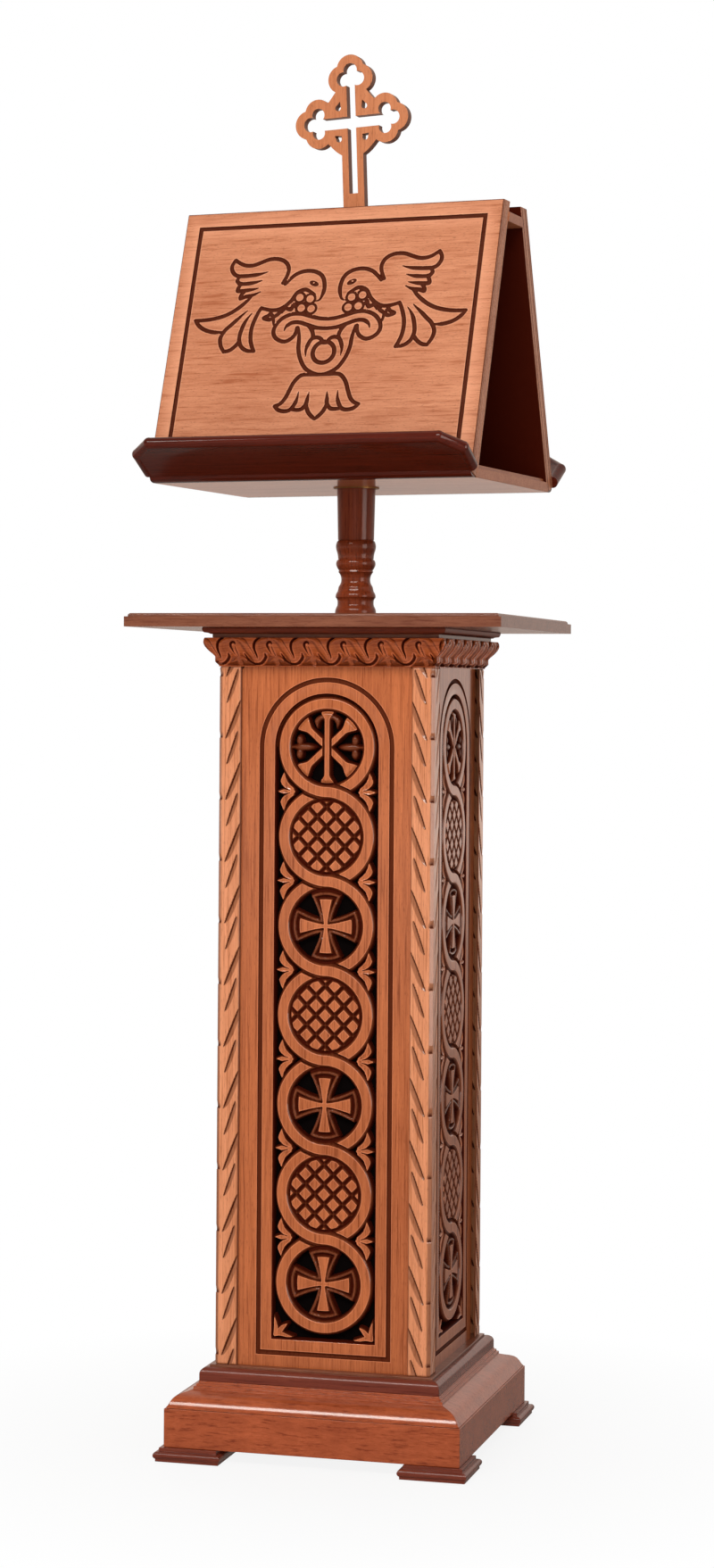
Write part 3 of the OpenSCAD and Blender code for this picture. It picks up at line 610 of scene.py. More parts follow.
def strands_relief(over, under):
    """Height of the two strands, and distance to their flat tops: rounded walls beside each, and a seam in
    the lower one where it dips under the upper one."""
    tuck = np.interp(under, *STRAND_WALL)
    tuck = np.where(over < SEAM_WIDTH, np.minimum(tuck, np.interp(over, *STRAND_SEAM)), tuck)
    height = np.maximum(np.interp(over, *STRAND_WALL), tuck)
    return height, np.minimum(over, np.maximum(under, SEAM_WIDTH - over))


def leaf_line(points, widths, u, v):
    """Signed distance to a leaf: a curve with its own half width at each point."""
    line = along_curve(points, 6)
    half = np.interp(np.linspace(0, 1, len(line)), np.linspace(0, 1, len(widths)), widths)
    return distance_to_line(np.stack([u, v], 1), line, 12.0, half)


def wheel_spokes(x, z):
    """Signed distance to a wheel's flat spokes, an upright one and two slanting ones that flare at the rim:
    distance across - (half width + flare * smooth(distance along))."""
    upright = np.abs(x) - (2.7 + 5.0 * smooth_step(np.abs(z), 32, 43))
    slanting = np.full_like(x, FAR)
    for way in (1, -1):
        along = (x + way * z * 0.93) / 1.366
        across = (x * 0.93 - way * z) / 1.366
        spoke = np.abs(across) - (3.1 + 6.5 * smooth_step(np.abs(along), 27, 44))
        slanting = np.minimum(slanting, spoke)
    slanting = np.maximum(slanting, 6.0 - np.abs(x))
    rim = np.hypot(x, z) - 42.5
    return np.maximum(np.minimum(upright, slanting), rim)


def wheel_leaves(x, z):
    """Signed distance to the wheel's small leaves: three ovals and a stalk on each side, and a top curl."""
    u = np.abs(x)
    leaf = leaf_line([(2, 33.5), (7, 35.5), (12.5, 31), (12.0, 22.5)], [1.6, 2.6, 3.4, 0.4], u, z)
    for centre, height, long, wide in ((28.5, 0, 13.0, 3.9), (34, 8.0, 3.9, 5.8), (34, -8.0, 3.9, 5.8)):
        oval = np.hypot((u - centre) / long, (z - height) / wide) - 1
        leaf = np.minimum(leaf, oval * min(long, wide))
    stalk = np.maximum(np.abs(z) - 1.6, np.maximum(30 - u, u - 45))
    return np.minimum(leaf, stalk)


def wheel_filling(x, z, radius):
    """Height and distance to the flat tops of the wheel, whose spokes sink towards the rim."""
    spokes, leaf = wheel_spokes(x, z), wheel_leaves(x, z)
    spoke_wall = ([-1.6, 0, 1.0, 2.0, 2.6, 3.0], [-0.5, -0.9, -2.4, -5.0, -6.0, -CARVED_DEPTH])
    leaf_wall = ([-3.2, -1.4, 0, 0.8, 1.6], [-1.0, -1.5, -3.0, -6.0, -CARVED_DEPTH])
    spoke_height = np.interp(spokes, *spoke_wall) - 3.4 * smooth_step(radius, 38.5, 44.0)
    return np.maximum(spoke_height, np.interp(leaf, *leaf_wall)), np.maximum(spokes, radius - 42.6)


def lattice_filling(x, z, radius):
    """Height and distance to the flat tops of a round field of lozenges. With u and v running along the two
    diagonals, a lozenge is where u and v lie within 0.316 of a whole number, and the grooves between are
        depth = 3.8 * larger rise * (1 - 0.6 * smaller rise^2), rise = smooth(0.316 to 0.47)."""
    lozenge_half = 0.316
    groove_half = 0.47
    pitch = 16.36
    u = x / 22.8 + z / 23.5
    v = x / 22.8 - z / 23.5
    du = np.abs(u - np.round(u))
    dv = np.abs(v - np.round(v))
    rise_u = smooth_step(du, lozenge_half, groove_half)
    rise_v = smooth_step(dv, lozenge_half, groove_half)
    groove = np.maximum(rise_u, rise_v) * (1 - 0.6 * np.minimum(rise_u, rise_v) ** 2)
    disc = radius - 41.6
    height = np.minimum(-0.4 - 3.8 * groove, np.interp(disc, [-0.5, 0.6, 2.6], [0.0, -3.0, -4.8]))
    return height, np.maximum((np.maximum(du, dv) - lozenge_half) * pitch, disc)


def cross_filling(x, z, radius):
    """Height and distance to the flat top of a flared cross. Each arm's half width grows along it,
        half = root + flare * share^1.3 for the raised middle, and share^1.35 for the ridge round it,
    with a trench between the two and a low floor at the rim."""
    upright = np.abs(z) > np.abs(x)
    along = np.where(upright, np.abs(z), np.abs(x))
    across = np.where(upright, np.abs(x), np.abs(z))
    outer_share = np.clip((along - 8.2) / 29.8, 0, 1.3) ** 1.35
    inner_share = np.clip((along - 3) / 28.7, 0, 1.3) ** 1.3
    outer_half = np.where(upright, 7.5 + 12.0 * outer_share, 8.9 + 11.6 * outer_share)
    inner_half = np.where(upright, 2.0 + 5.2 * inner_share, 2.0 + 6.7 * inner_share)
    inner = np.maximum(across - inner_half, along - 31.8 + 0.006 * across * across)
    inner = np.minimum(inner, (np.abs(x) + np.abs(z) - 4.6) * 0.7)
    outer = np.maximum((across - outer_half) * 0.93, radius - 40.8)

    trench_inside = np.maximum(inner, 0) * 2.2 + 0.3
    trench_outside = np.maximum(-outer - 3.4, 0) * 2.2 + 1.1
    trench = -np.minimum(4.6, np.minimum(trench_inside, trench_outside))
    ridge = np.interp(outer, [-3.4, -2.4, -0.9, 0.8, 1.6], [-1.1, -0.8, -0.8, -6.0, -CARVED_DEPTH])
    arms = np.where(outer < -3.4, np.where(inner < 0, -0.3, trench), ridge)
    at_rim = (radius > 40.8) & (outer < 6.0) & (np.minimum(np.abs(x), np.abs(z)) < 19)
    return np.maximum(arms, np.where(at_rim, -4.8, -CARVED_DEPTH)), inner


def sprigs(x, z):
    """Signed distance to the leaf sprigs beside each crossing and in the opening's two foot corners."""
    steps = (TOP_RING - z) / RING_PITCH - 0.5
    place = np.clip(np.round(steps), 0, RING_COUNT - 2)
    up = np.abs(z - (TOP_RING - (place + 0.5) * RING_PITCH))
    u = np.abs(x)
    du = OPENING_REACH - u
    dv = z - OPENING_FOOT
    leaves = (
        leaf_line([(42, 3.0), (48.5, 6.6), (53.0, 12.5), (52.6, 23.0)], [2.0, 3.7, 4.3, 0.2], u, up),
        leaf_line([(40, 0), (46, 0), (53, 0), (61.2, 0)], [1.4, 1.7, 3.0, 0.1], u, up),
        np.hypot((u - 42.5) / 1.1, up) - 3.2,
        leaf_line([(2.5, 3.0), (9, 4.7), (17, 2.8), (25, 1.6)], [2.0, 3.0, 2.2, 0.4], du, dv),
        leaf_line([(2.0, 3.5), (3.6, 10), (3.0, 17), (1.4, 26)], [2.0, 3.0, 2.2, 0.3], du, dv),
        leaf_line([(3, 3.5), (8, 8), (12, 12.5), (17, 16.5)], [1.4, 3.6, 3.0, 1.0], du, dv),
    )
    return np.minimum.reduce(leaves)


def panel_relief(flat):
    """Height of the carving from the panel's face, and signed distance to its nearest flat top, as the
    highest of the linked rings, the fillings inside them, the sprigs outside them and the moulded arch
    over the top."""
    x, z = flat[:, 0], flat[:, 1]
    over, under = strands(x, z)
    height, top = strands_relief(over, under)

    index = np.clip(np.round((TOP_RING - z) / RING_PITCH), 0, RING_COUNT - 1)
    from_middle = z - (TOP_RING - index * RING_PITCH)
    radius = np.hypot(x, from_middle)
    fillings = (
        (index == 0, wheel_filling),
        (index % 2 == 1, lattice_filling),
        ((index > 0) & (index % 2 == 0), cross_filling),
    )
    for here, filling in fillings:
        inside, inside_top = filling(x, from_middle, radius)
        within = here & (radius < 46.4)
        height = np.where(within, np.maximum(height, inside), height)
        top = np.where(within, np.minimum(top, inside_top), top)

    sprig = sprigs(x, z)
    sprig_wall = ([-3.4, -0.6, 0.4, 1.2, 2.0], [-2.2, -1.2, -3.2, -6.4, -CARVED_DEPTH])
    outside_rings = radius > 46
    clear = np.minimum(over, under) > 1.2
    height = np.where(outside_rings, np.maximum(height, np.interp(sprig, *sprig_wall)), height)
    top = np.where(outside_rings & clear, np.minimum(top, sprig + 0.6), top)

    arch = np.interp(radius, [58, 59.8, 61.0, 62.2], [-4.8, -5.4, -4.4, 0.0])
    over_top = (radius > 57.7) & (z > TOP_RING)
    return np.where(over_top, np.maximum(height, arch), height), top


def patina_and_light_from(faces, height, top):
    """Patina with painted shade for each corner of each face, darker down the cut walls as they deepen,
    0.6 + 0.4 * depth / 3.2, none on flat tops, and a painted highlight, as a negative value, on the last
    0.9 mm of a flat top, -pale * (1 + top / 0.9)."""
    middle = top[faces].mean(1)
    dark = 0.6 + 0.4 * np.clip(-height[faces] / 3.2, 0, 1)
    painted_highlight = -PAINTED_EDGE_HIGHLIGHT * np.clip(1 + top[faces] / 0.9, 0, 1)
    return np.where(middle[:, None] > 0.02, dark, painted_highlight)


def flat_edge(points):
    """Zero along the edge of the carving's flat tops."""
    return panel_relief(points)[1]


def pierced_edge(points):
    """Zero along the edge of the piercings."""
    return panel_relief(points)[0] + CARVED_DEPTH - 0.4


def from_top_ring(points):
    return np.hypot(points[:, 0], points[:, 1] - TOP_RING)


def under_arch(points):
    """True for points below the arch, with a little over to trim."""
    return (points[:, 1] < TOP_RING) | (from_top_ring(points) < OPENING_REACH + 1.5)


def open_carving():
    """The pierced middle of a panel as flat points, triangles, heights, and patina with painted shade and
    highlight. Points that lie beyond the arch are drawn in to it: middle + (point - middle) * reach /
    distance."""
    across = np.linspace(-OPENING_REACH, OPENING_REACH, 121)
    up = np.linspace(OPENING_FOOT, TOP_RING + OPENING_REACH, 770)
    points, faces = lattice_of(across, up)
    points, faces = keep_where(points, faces, under_arch)
    points, faces = split_along(points, faces, flat_edge)
    points, faces = split_along(points, faces, pierced_edge)
    points, faces = keep_where(points, faces, pierced_edge)
    distance = from_top_ring(points)
    beyond = (points[:, 1] > TOP_RING) & (distance > OPENING_REACH)
    scale = np.where(beyond, OPENING_REACH / np.maximum(distance, 1), 1.0)
    points = (points - [0, TOP_RING]) * scale[:, None] + [0, TOP_RING]
    height, top = panel_relief(points)
    return points, faces, height, patina_and_light_from(faces, height, top)


def border_section(cuts):
    """The border's section outwards from the opening: its wall, a flat, a rounded groove and a flat. Each
    row gives distance, height, and the patina with painted shade, or below 0 the painted highlight,
    before and after that point. The groove is
        height = -depth * sin(angle)^0.8, distance = middle - half width * cos(angle)."""
    lip = [(0.0, -CARVED_DEPTH), (0.1, -4.4), (0.3, -2.9), (0.75, -1.6), (1.3, -0.8)]
    middle, half, deep = 18.0, cuts.groove_width / MM / 2, cuts.groove_depth / MM
    # The wall and the groove are darkened with patina and painted shade, and the groove's edges get a
    # painted highlight
    groove_patina_and_shade = 0.88
    section = [(s, h, 1.0, 1.0) for s, h in lip]
    section += [(2.0, -0.25, 1.0, -PAINTED_EDGE_HIGHLIGHT), (2.8, 0.0, 0.0, 0.0), (middle - half - 1.0, 0.0, 0.0, 0.0)]
    angles = np.radians(np.linspace(0, 180, 13))
    for a in angles:
        before = -PAINTED_EDGE_HIGHLIGHT if a == angles[0] else groove_patina_and_shade
        after = -PAINTED_EDGE_HIGHLIGHT if a == angles[-1] else groove_patina_and_shade
        section.append((middle - half * math.cos(a), -deep * max(math.sin(a), 0.0) ** 0.8, before, after))
    section += [(middle + half + 1.0, 0.0, 0.0, 0.0), (25.0, 0.0, 0.0, 0.0)]
    return [np.array(column) for column in zip(*section)]


def border_row(s, x, up, t):
    """The section's points at one place round the opening, and the panel's own edge there. On the sides t
    runs from foot to arch, in the arch x and up are the cosine and sine, and at the foot up is -1."""
    if up == -1:
        inner = np.stack([x * (OPENING_REACH + s), OPENING_FOOT - s], 1)
        edge = (x * PANEL_REACH, PANEL_FOOT)
    elif up == 0:
        floor = OPENING_FOOT - s
        inner = np.stack([x * (OPENING_REACH + s), floor + (TOP_RING - floor) * t], 1)
        edge = (x * PANEL_REACH, PANEL_FOOT + (TOP_RING - PANEL_FOOT) * t)
    else:
        inner = np.stack([x * (OPENING_REACH + s), TOP_RING + up * (OPENING_REACH + s)], 1)
        grow = min(PANEL_REACH / max(abs(x), 1e-6), (PANEL_TOP - TOP_RING) / max(up, 1e-6))
        edge = (x * grow, TOP_RING + up * grow)
    return np.concatenate([inner, [edge]])


def panel_border(cuts):
    """The flat frame round the opening: its section carried along the sides, the arch and the foot."""
    s, height, before, after = border_section(cuts)
    sides = np.linspace(0, 1, 12)
    left = [(-1, 0, t) for t in sides[:-1]]
    arch = [(math.cos(a), math.sin(a), 1) for a in np.radians(np.linspace(180, 0, 97))]
    right = [(1, 0, t) for t in sides[::-1][1:]]
    foot = [(x, -1, 0) for x in np.linspace(1, -1, 9)[1:-1]]
    rows = [border_row(s, x, up, t) for x, up, t in left + arch + right + foot]
    heights, befores, afters = (np.tile(np.append(row, 0.0), len(rows)) for row in (height, before, after))
    faces = quads(len(rows), len(s) + 1, closed=True)
    inner_patina_and_light, outer_patina_and_light = afters[faces[:, 0]], befores[faces[:, 1]]
    stain = np.stack([inner_patina_and_light, outer_patina_and_light, outer_patina_and_light, inner_patina_and_light], 1)
    return np.concatenate(rows), faces, heights, stain


def facing_out(vertices, faces, stain, towards):
    """Turns every face whose normal points against `towards`, with its values of patina and painted light.
    """
    a, b, c = (vertices[faces[:, i]] for i in range(3))
    wrong = (np.cross(b - a, c - a) * towards).sum(1) < 0
    faces = faces.copy()
    stain = stain.copy()
    faces[wrong] = faces[wrong][:, ::-1]
    stain[wrong] = stain[wrong][:, ::-1]
    return faces, stain


class LECTERN_OT_panels(bpy.types.Operator):
    """Carve the four pierced panels: linked rings with a wheel, lattices and flared crosses"""

    bl_idname = "lectern.panels"
    bl_label = "Carved panels"

    def execute(self, context):
        opening = open_carving()
        border = panel_border(context.scene.lectern_cuts)
        for quarter, side in enumerate(SIDES):
            out = spun(np.array([[0.0, -1.0, 0.0]]), 90 * quarter)[0]
            for label, (points, faces, height, stain) in (("rings", opening), ("frame", border)):
                vertices = on_cabinet(points, height, PANEL_FACE, quarter)
                turned_faces, turned_patina_and_light = facing_out(vertices, faces, stain, out)
                piece = make_object(
                    f"panel_{label}_{side}", vertices, turned_faces, finish["panel"], "stand",
                    f"panel_{side}", turned_patina_and_light,
                )
        return {"FINISHED"}


# Corner posts

POST_PITCH = 73.7
POST_FIRST = post_high[2] - 63.0
POST_ROWS = 720

# The cuts of one pitch: height of the middle, length, distance of the middle from the panel's side, slant,
# reach of the steep and of the easy side, and share of the full depth
GOUGES = (
    (0.0, 46.0, 9.8, 0.40, 1.2, 6.0, 1.0),
    (-34.0, 40.0, 11.0, 0.34, 1.0, 4.8, 0.7),
    (-17.0, 11.0, 25.6, -0.36, 1.1, 2.8, 0.73),
)


def gouge_depth(z, from_edge, deepest):
    """Depth, and patina with painted shade, of the slanting cuts on a post's face: darker towards each cut's
    steep side, with a painted highlight along its easy side. Each pitch has one long and one short cut,
    which run down from the panel's side to the outer corner, and a notch where the long one meets the
    corner. Each falls steeply from its upper edge and rises slowly again:
        depth = deepest * share * taper * (1 - side / reach), taper = sqrt(1 - (along / half length)^3)"""
    depth = np.zeros_like(z)
    stain = np.zeros_like(z)
    painted_highlight = np.zeros_like(z)
    for offset, long, middle_reach, slant, steep, easy, deep in GOUGES:
        turn = np.round((POST_FIRST + offset - z) / POST_PITCH)
        for shift in (-1, 0, 1):
            dz = z - (POST_FIRST + offset - (turn + shift) * POST_PITCH)
            share = np.clip(np.abs(dz) / (long / 2), 0, 1)
            taper = np.sqrt(np.clip(1 - share**3, 0, 1))
            aside = (from_edge - middle_reach + dz * slant) / math.hypot(1, slant)
            reach = np.where(aside > 0, steep, easy) * np.maximum(taper, 0.02)
            inside = np.clip(1 - np.abs(aside) / reach, 0, 1) * (share < 1)
            depth = np.maximum(depth, inside * deepest * deep * taper)
            # Painted shade: the cut is darker towards its steep side
            dark = 0.48 + 0.5 * smooth_step(aside, -1.8, 0.0)
            stain = np.maximum(stain, dark * smooth_step(inside, 0.0, 0.2))
            # Painted highlight: a pale line beside the cut's easy side
            beyond = -aside - reach
            painted_highlight = np.maximum(painted_highlight, smooth_step(beyond, 1.5, 0.2) * (beyond > 0) * (share < 0.9))
    return depth, np.where(stain > 0.05, stain, -PAINTED_EDGE_HIGHLIGHT * painted_highlight)


def post_surface(cuts):
    """One corner post as points, faces, and patina with painted shade and highlight. Each outer face is a
    grid of u from the panel's side to the chamfer and z from foot to top, set back from the post's face by
    the deepest of the gouges, the rounded edge by the panel, 1.6 - sqrt(1.6^2 - (1.6 - u)^2), and the
    rounded-off ends. The chamfer joins the two grids."""
    flat = POST_FACE - PANEL_REACH - cuts.chamfer / MM
    foot, top = post_low[2], post_high[2]
    up = np.linspace(foot, top, POST_ROWS)
    near_panel = [0.0, 0.15, 0.4, 0.75, 1.15]
    near_chamfer = [flat - 1.0, flat - 0.4, flat]
    d = np.concatenate([near_panel, np.linspace(1.6, flat - 1.6, 31), near_chamfer])
    u, z = np.meshgrid(d, up)
    depth, dark = gouge_depth(z, u, cuts.gouge_depth / MM)
    rounding = 1.6
    from_round = np.clip(rounding - u, 0, rounding)
    depth = np.maximum(depth, rounding - np.sqrt(np.clip(rounding**2 - from_round**2, 0, None)))
    ends = np.minimum(z - foot, top - z)
    depth = np.maximum(depth, np.interp(ends, [0, 0.8, 2.2], [1.4, 0.5, 0]))
    # Painted shade: darker by the panel, by the chamfer and at the ends
    dark = np.maximum(dark, 0.75 * smooth_step(u, 1.5, 0.2))
    dark = np.maximum(dark, 0.5 * smooth_step(u, flat - 0.7, flat - 0.1))
    dark = np.maximum(dark, 0.6 * smooth_step(ends, 1.4, 0.4))

    along, out = PANEL_REACH + u, np.full_like(u, POST_FACE) - depth
    # The faces that close the grid at the post's inner corner take 0.8 of painted shade
    inner, outer, seam = (np.full((POST_ROWS, 1), value) for value in (PANEL_REACH, POST_FACE, 0.8))
    x = np.concatenate([inner, along, out[:, ::-1], outer], 1)
    y = np.concatenate([inner, out, along[:, ::-1], inner], 1)
    dark = np.concatenate([seam, dark, dark[:, ::-1], seam], 1)
    z = np.repeat(up[:, None], x.shape[1], 1)
    faces = quads(POST_ROWS, x.shape[1])
    return np.stack([x.ravel(), -y.ravel(), z.ravel()], 1), faces, dark.ravel()[faces]


class LECTERN_OT_posts(bpy.types.Operator):
    """Cut the four corner posts, with slanting gouges on both faces and a chamfered corner"""

    bl_idname = "lectern.posts"
    bl_label = "Corner posts"

    def execute(self, context):
        points, faces, stain = post_surface(context.scene.lectern_cuts)
        for corner, (sx, sy) in zip(CORNERS, ((-1, 1), (1, 1), (1, -1), (-1, -1))):
            vertices = points * [sx, sy, 1]
            out = np.array([sx, -sy, 0.0])
            turned_faces, turned_patina_and_light = facing_out(vertices, faces, stain, out)
            piece = make_object(
                f"post_carved_{corner}", vertices, turned_faces, finish["post"], "stand",
                f"post_{corner}", turned_patina_and_light, sharp=25,
            )
        return {"FINISHED"}


# Crown of leaves

LEAF_PITCH = 45.6
LEAF_FIRST = -111.0

# The crown's plain section: heights above its foot, and how far each stands out from the posts
CROWN_HEIGHTS = (0, 1.4, 5.6, 11.8, 13.8, 16, 18.2, 20.4, 23.4, 26.4, 28.4, 30.4, 32.4, 34.1)
CROWN_STANDS_OUT = (0, 0, 3.7, 3.7, 5.2, 7.3, 9.4, 11.3, 13.4, 14.7, 15.1, 15.0, 14.6, 13.7)

# The drawing of one leaf, x to the right of its middle over z, first the edges of the hollow and the ground
HOLLOW_LEFT = ([2, 4, 9, 14.5, 17, 21, 26, 30, 32.6], [-15, -12, -9, -7.7, -10.5, -12.3, -12.2, -9, -1])
HOLLOW_RIGHT = ([2, 5, 10, 14, 20, 25, 29, 31.5, 32.6], [27, 24.6, 20.6, 17.6, 14.2, 12, 9, 5, -1])
GROUND_LEFT = ([4, 13, 23, 31, 34.8], [25, 22.7, 18.8, 13.7, 6])
GROUND_RIGHT = ([4.5, 12.9, 20.6, 28.3, 34], [28.3, 26.6, 25.8, 28.3, 35.3])
STALK = ((0.2, 26.8), (0.6, 22), (1.8, 15), (5.4, 4.0))
TIPS = (
    ((4.0, 9.5), (0.5, 8.4), (-3.6, 5.6)),
    ((4.4, 9.5), (8.5, 10.2), (13.6, 7.2)),
    ((3.6, 9), (4.4, 6), (5.2, 2.2)),
)
EYE = (-0.8, 25.6)

# The cuts between and in the leaves: control points, half widths, share of the full depth, and patina with
# painted shade
LEAF_CUTS = (
    (((-12.0, 34.6), (-17.4, 31.2), (-20.0, 26), (-20.5, 20.5), (-19.7, 15.0), (-18.8, 9.6)),
     (1.1, 1.6, 1.8, 1.6, 1.2, 0.2), 1.0, 1.0),
    (((-34.6, 15.2), (-32.8, 11.2), (-30.0, 7.4), (-25.5, 4.3), (-19.6, 2.9), (-14, 4.0), (-10.2, 7.4),
      (-8.2, 11.4), (-8.4, 15.4)),
     (0.6, 1.1, 1.2, 1.3, 1.4, 1.5, 1.7, 1.6, 0.7), 0.55, 0.95),
    (((9, 34.6), (15.0, 31), (18.9, 24.6), (22.0, 18.2), (25.0, 9.5)), (0.5, 0.6, 0.6, 0.5, 0.2), 0.25, 0.6),
    (((2.0, 26.6), (1.2, 28.6), (-1.2, 29.2), (-3.5, 27.0), (-3.6, 23.4), (-2.4, 19.0), (-0.8, 14.0)),
     (0.6, 1.1, 1.4, 1.6, 1.4, 1.0, 0.3), 0.55, 1.0),
    (((1.5, 23.8), (2.3, 19.0), (3.7, 13.0)), (0.4, 0.8, 0.4), 0.25, 0.75),
)


def crown_reach(z):
    """Reach of the crown's plain face at a height above its foot, straight between the section's points."""
    return np.interp(z, CROWN_HEIGHTS, POST_FACE + 0.2 + np.array(CROWN_STANDS_OUT))


def leaf_hollows(s, z):
    """Height, and painted shade, of the hollow under each arch and of the ground between two arches, the
    shade darker towards the hollow's foot, on each arch's left leg and on the hollow's right wall:
        hollow = min(s - left(z), right(z) - s), ground likewise
        height = -fall * smooth(hollow or ground)"""
    hollow = np.full(len(s), -9.0)
    ground = np.full(len(s), -9.0)
    left, right = np.interp(z, *HOLLOW_LEFT), np.interp(z, *HOLLOW_RIGHT)
    arm, cut = np.interp(z, *GROUND_LEFT), np.interp(z, *GROUND_RIGHT)
    for shift in (-LEAF_PITCH, 0, LEAF_PITCH):
        hollow = np.maximum(hollow, np.minimum(s - shift - left, right - s + shift))
        ground = np.maximum(ground, np.minimum(s - shift - arm, cut - s + shift))
    height = -0.9 * smooth_step(hollow, -2.6, 0) - 1.0 * smooth_step(ground, -2.6, 0)
    height = height - (0.9 + 3.4 * smooth_step(z, 26, 7)) * smooth_step(hollow, 0, 4.5)
    height = height - 0.9 * smooth_step(ground, 0, 2.5) * smooth_step(z, 8, 20)
    # Painted shade: darker towards the hollow's foot, and on the left leg of each arch, which turns from the
    # light
    stain = 0.5 * smooth_step(hollow, 1.0, 5.0) * smooth_step(z, 17, 5)
    stain = np.maximum(stain, 0.22 * smooth_step(hollow, -7, -1) * (s < 0))
    # Painted shade on the hollow's right wall
    wall = smooth_step(hollow, -1.0, 0.8) * (1 - smooth_step(hollow, 1.8, 4.5)) * (s > 4)
    return height, np.maximum(stain, 0.5 * wall)


def crown_relief(x, z, deepest):
    """Height, and patina with painted shade and highlight, of the leaf carving on the crown's face. A ribbon
    runs in arches and hanging lobes. Inside each arch lies a hollow with an eye, a stalk and a leaf of three
    tips. Each cut takes off
        deepest * share * (1 - (1 - d)^2), d = distance inside its edge / 1.2."""
    shape = x.shape
    z = z.ravel()
    turn = np.round((x.ravel() - LEAF_FIRST) / LEAF_PITCH)
    s = x.ravel() - LEAF_FIRST - turn * LEAF_PITCH
    height, stain = leaf_hollows(s, z)
    stalk = along_curve(STALK, 5)
    tips = [along_curve(tip, 4) for tip in TIPS]
    far = 9.0
    # Painted highlight: a pale spot in the middle of each eye
    painted_highlight = 0.8 * smooth_step(np.hypot(s - EYE[0], z - EYE[1]), 1.6, 0.6)
    for shift in (-LEAF_PITCH, 0, LEAF_PITCH):
        p = np.stack([s - shift, z], 1)
        ridge = distance_to_line(p, stalk, far, np.linspace(1.0, 2.2, len(stalk)))
        leaf = np.minimum.reduce(
            [distance_to_line(p, tip, far, np.linspace(2.6, 0.3, len(tip))) for tip in tips]
        )
        height = np.maximum(height, np.where(ridge < 1.2, -1.3 - 1.0 * smooth_step(ridge, -2.2, 1.2), -far))
        height = np.maximum(height, np.where(leaf < 0.7, -1.7 - 1.1 * smooth_step(leaf, -2.2, 0.7), -far))
        stain = np.where((ridge < 0.4) | (leaf < 0.0), np.minimum(stain, 0.15), stain)
        # Patina and painted shade in a dark outline round the leaf tips
        stain = np.maximum(stain, 0.5 * np.clip(1 - np.abs(leaf - 0.4) / 0.8, 0, 1))
        for controls, halves, deep, dark in LEAF_CUTS:
            line = along_curve(controls, 5)
            wide = np.interp(np.linspace(0, 1, len(line)), np.linspace(0, 1, len(halves)), halves)
            gap = distance_to_line(p, line, far, wide)
            inside = np.clip(-gap / 1.2, 0, 1)
            height = height - deepest * deep * inside * (2 - inside)
            # Patina and painted shade in each cut
            stain = np.maximum(stain, dark * smooth_step(gap, 0.35, -0.35))
            # Painted highlight: a pale rim beside the upper cuts
            painted_highlight = np.maximum(painted_highlight, PAINTED_EDGE_HIGHLIGHT * dark * smooth_step(gap, 2.2, 0.5) * smooth_step(z, 30, 16))
    stain = np.where(stain > 0.3, stain, stain - painted_highlight)
    fade = smooth_step(z, 0.8, 2.6) * smooth_step(34.4 - z, 0.0, 1.2)
    return (height * fade).reshape(shape), (stain * smooth_step(z, 0.6, 1.6)).reshape(shape)


def crown_surface(deepest):
    """The front crown moulding as points, faces, and patina with painted shade and highlight, a grid of x
    along the side and z up it:
        out = plain reach + carving * smooth(reach - |x|), so that the carving fades out at the mitres
    Rows behind the face close its foot, top and back. The grid's count of rows and columns comes last."""
    rise = crown_high[2] - crown_low[2]
    rows = np.concatenate([[0.0, 0.6], np.linspace(1.4, 34.1, 62)])
    flat_reach = POST_FACE - 6.0
    columns = np.linspace(-flat_reach, flat_reach, 430)
    share = np.linspace(0, 1, 30)[1:]
    reach = crown_reach(rows)[:, None]
    right = flat_reach + (reach - flat_reach) * share[None]
    x = np.concatenate([-right[:, ::-1], np.repeat(columns[None], len(rows), 0), right], 1)
    z = np.repeat(rows[:, None], x.shape[1], 1)
    height, dark = crown_relief(x, z, deepest)
    out = reach + height * smooth_step(reach - np.abs(x), 0.0, 3.0)
    foot = x[:1]

    def closing(depth, level):
        """A bare row of points behind the face."""
        across = np.sign(foot) * np.minimum(np.abs(foot), depth)
        return across, np.full_like(foot, depth), np.full_like(foot, level), np.zeros_like(foot)

    top_row, back_row = closing(POST_FACE + 6.4, rise), closing(PANEL_REACH, rise)
    grid = closing(PANEL_REACH, 0.0), (x, out, z, dark), top_row, back_row
    x, out, z, dark = (np.concatenate(part) for part in zip(*grid))
    faces = quads(*x.shape, closed=True)
    points = np.stack([x.ravel(), -out.ravel(), crown_low[2] + z.ravel()], 1)
    return points, faces, dark.ravel()[faces], x.shape


class LECTERN_OT_crown(bpy.types.Operator):
    """Carve the crown moulding's four sides with their row of leaf arches"""

    bl_idname = "lectern.crown"
    bl_label = "Leaf crown"

    def execute(self, context):
        points, faces, stain, (count, width) = crown_surface(context.scene.lectern_cuts.leaf_cut / MM)
        first_ring = np.arange(count) * width
        caps = [first_ring, (first_ring + width - 1)[::-1]]
        for quarter, side in enumerate(SIDES):
            piece = make_object(
                f"crown_carved_{side}", spun(points, 90 * quarter), faces, finish["crown"], "stand",
                f"crown_{side}", stain, sharp=60,
            )
            outward(piece, caps)
        return {"FINISHED"}


# Book boards

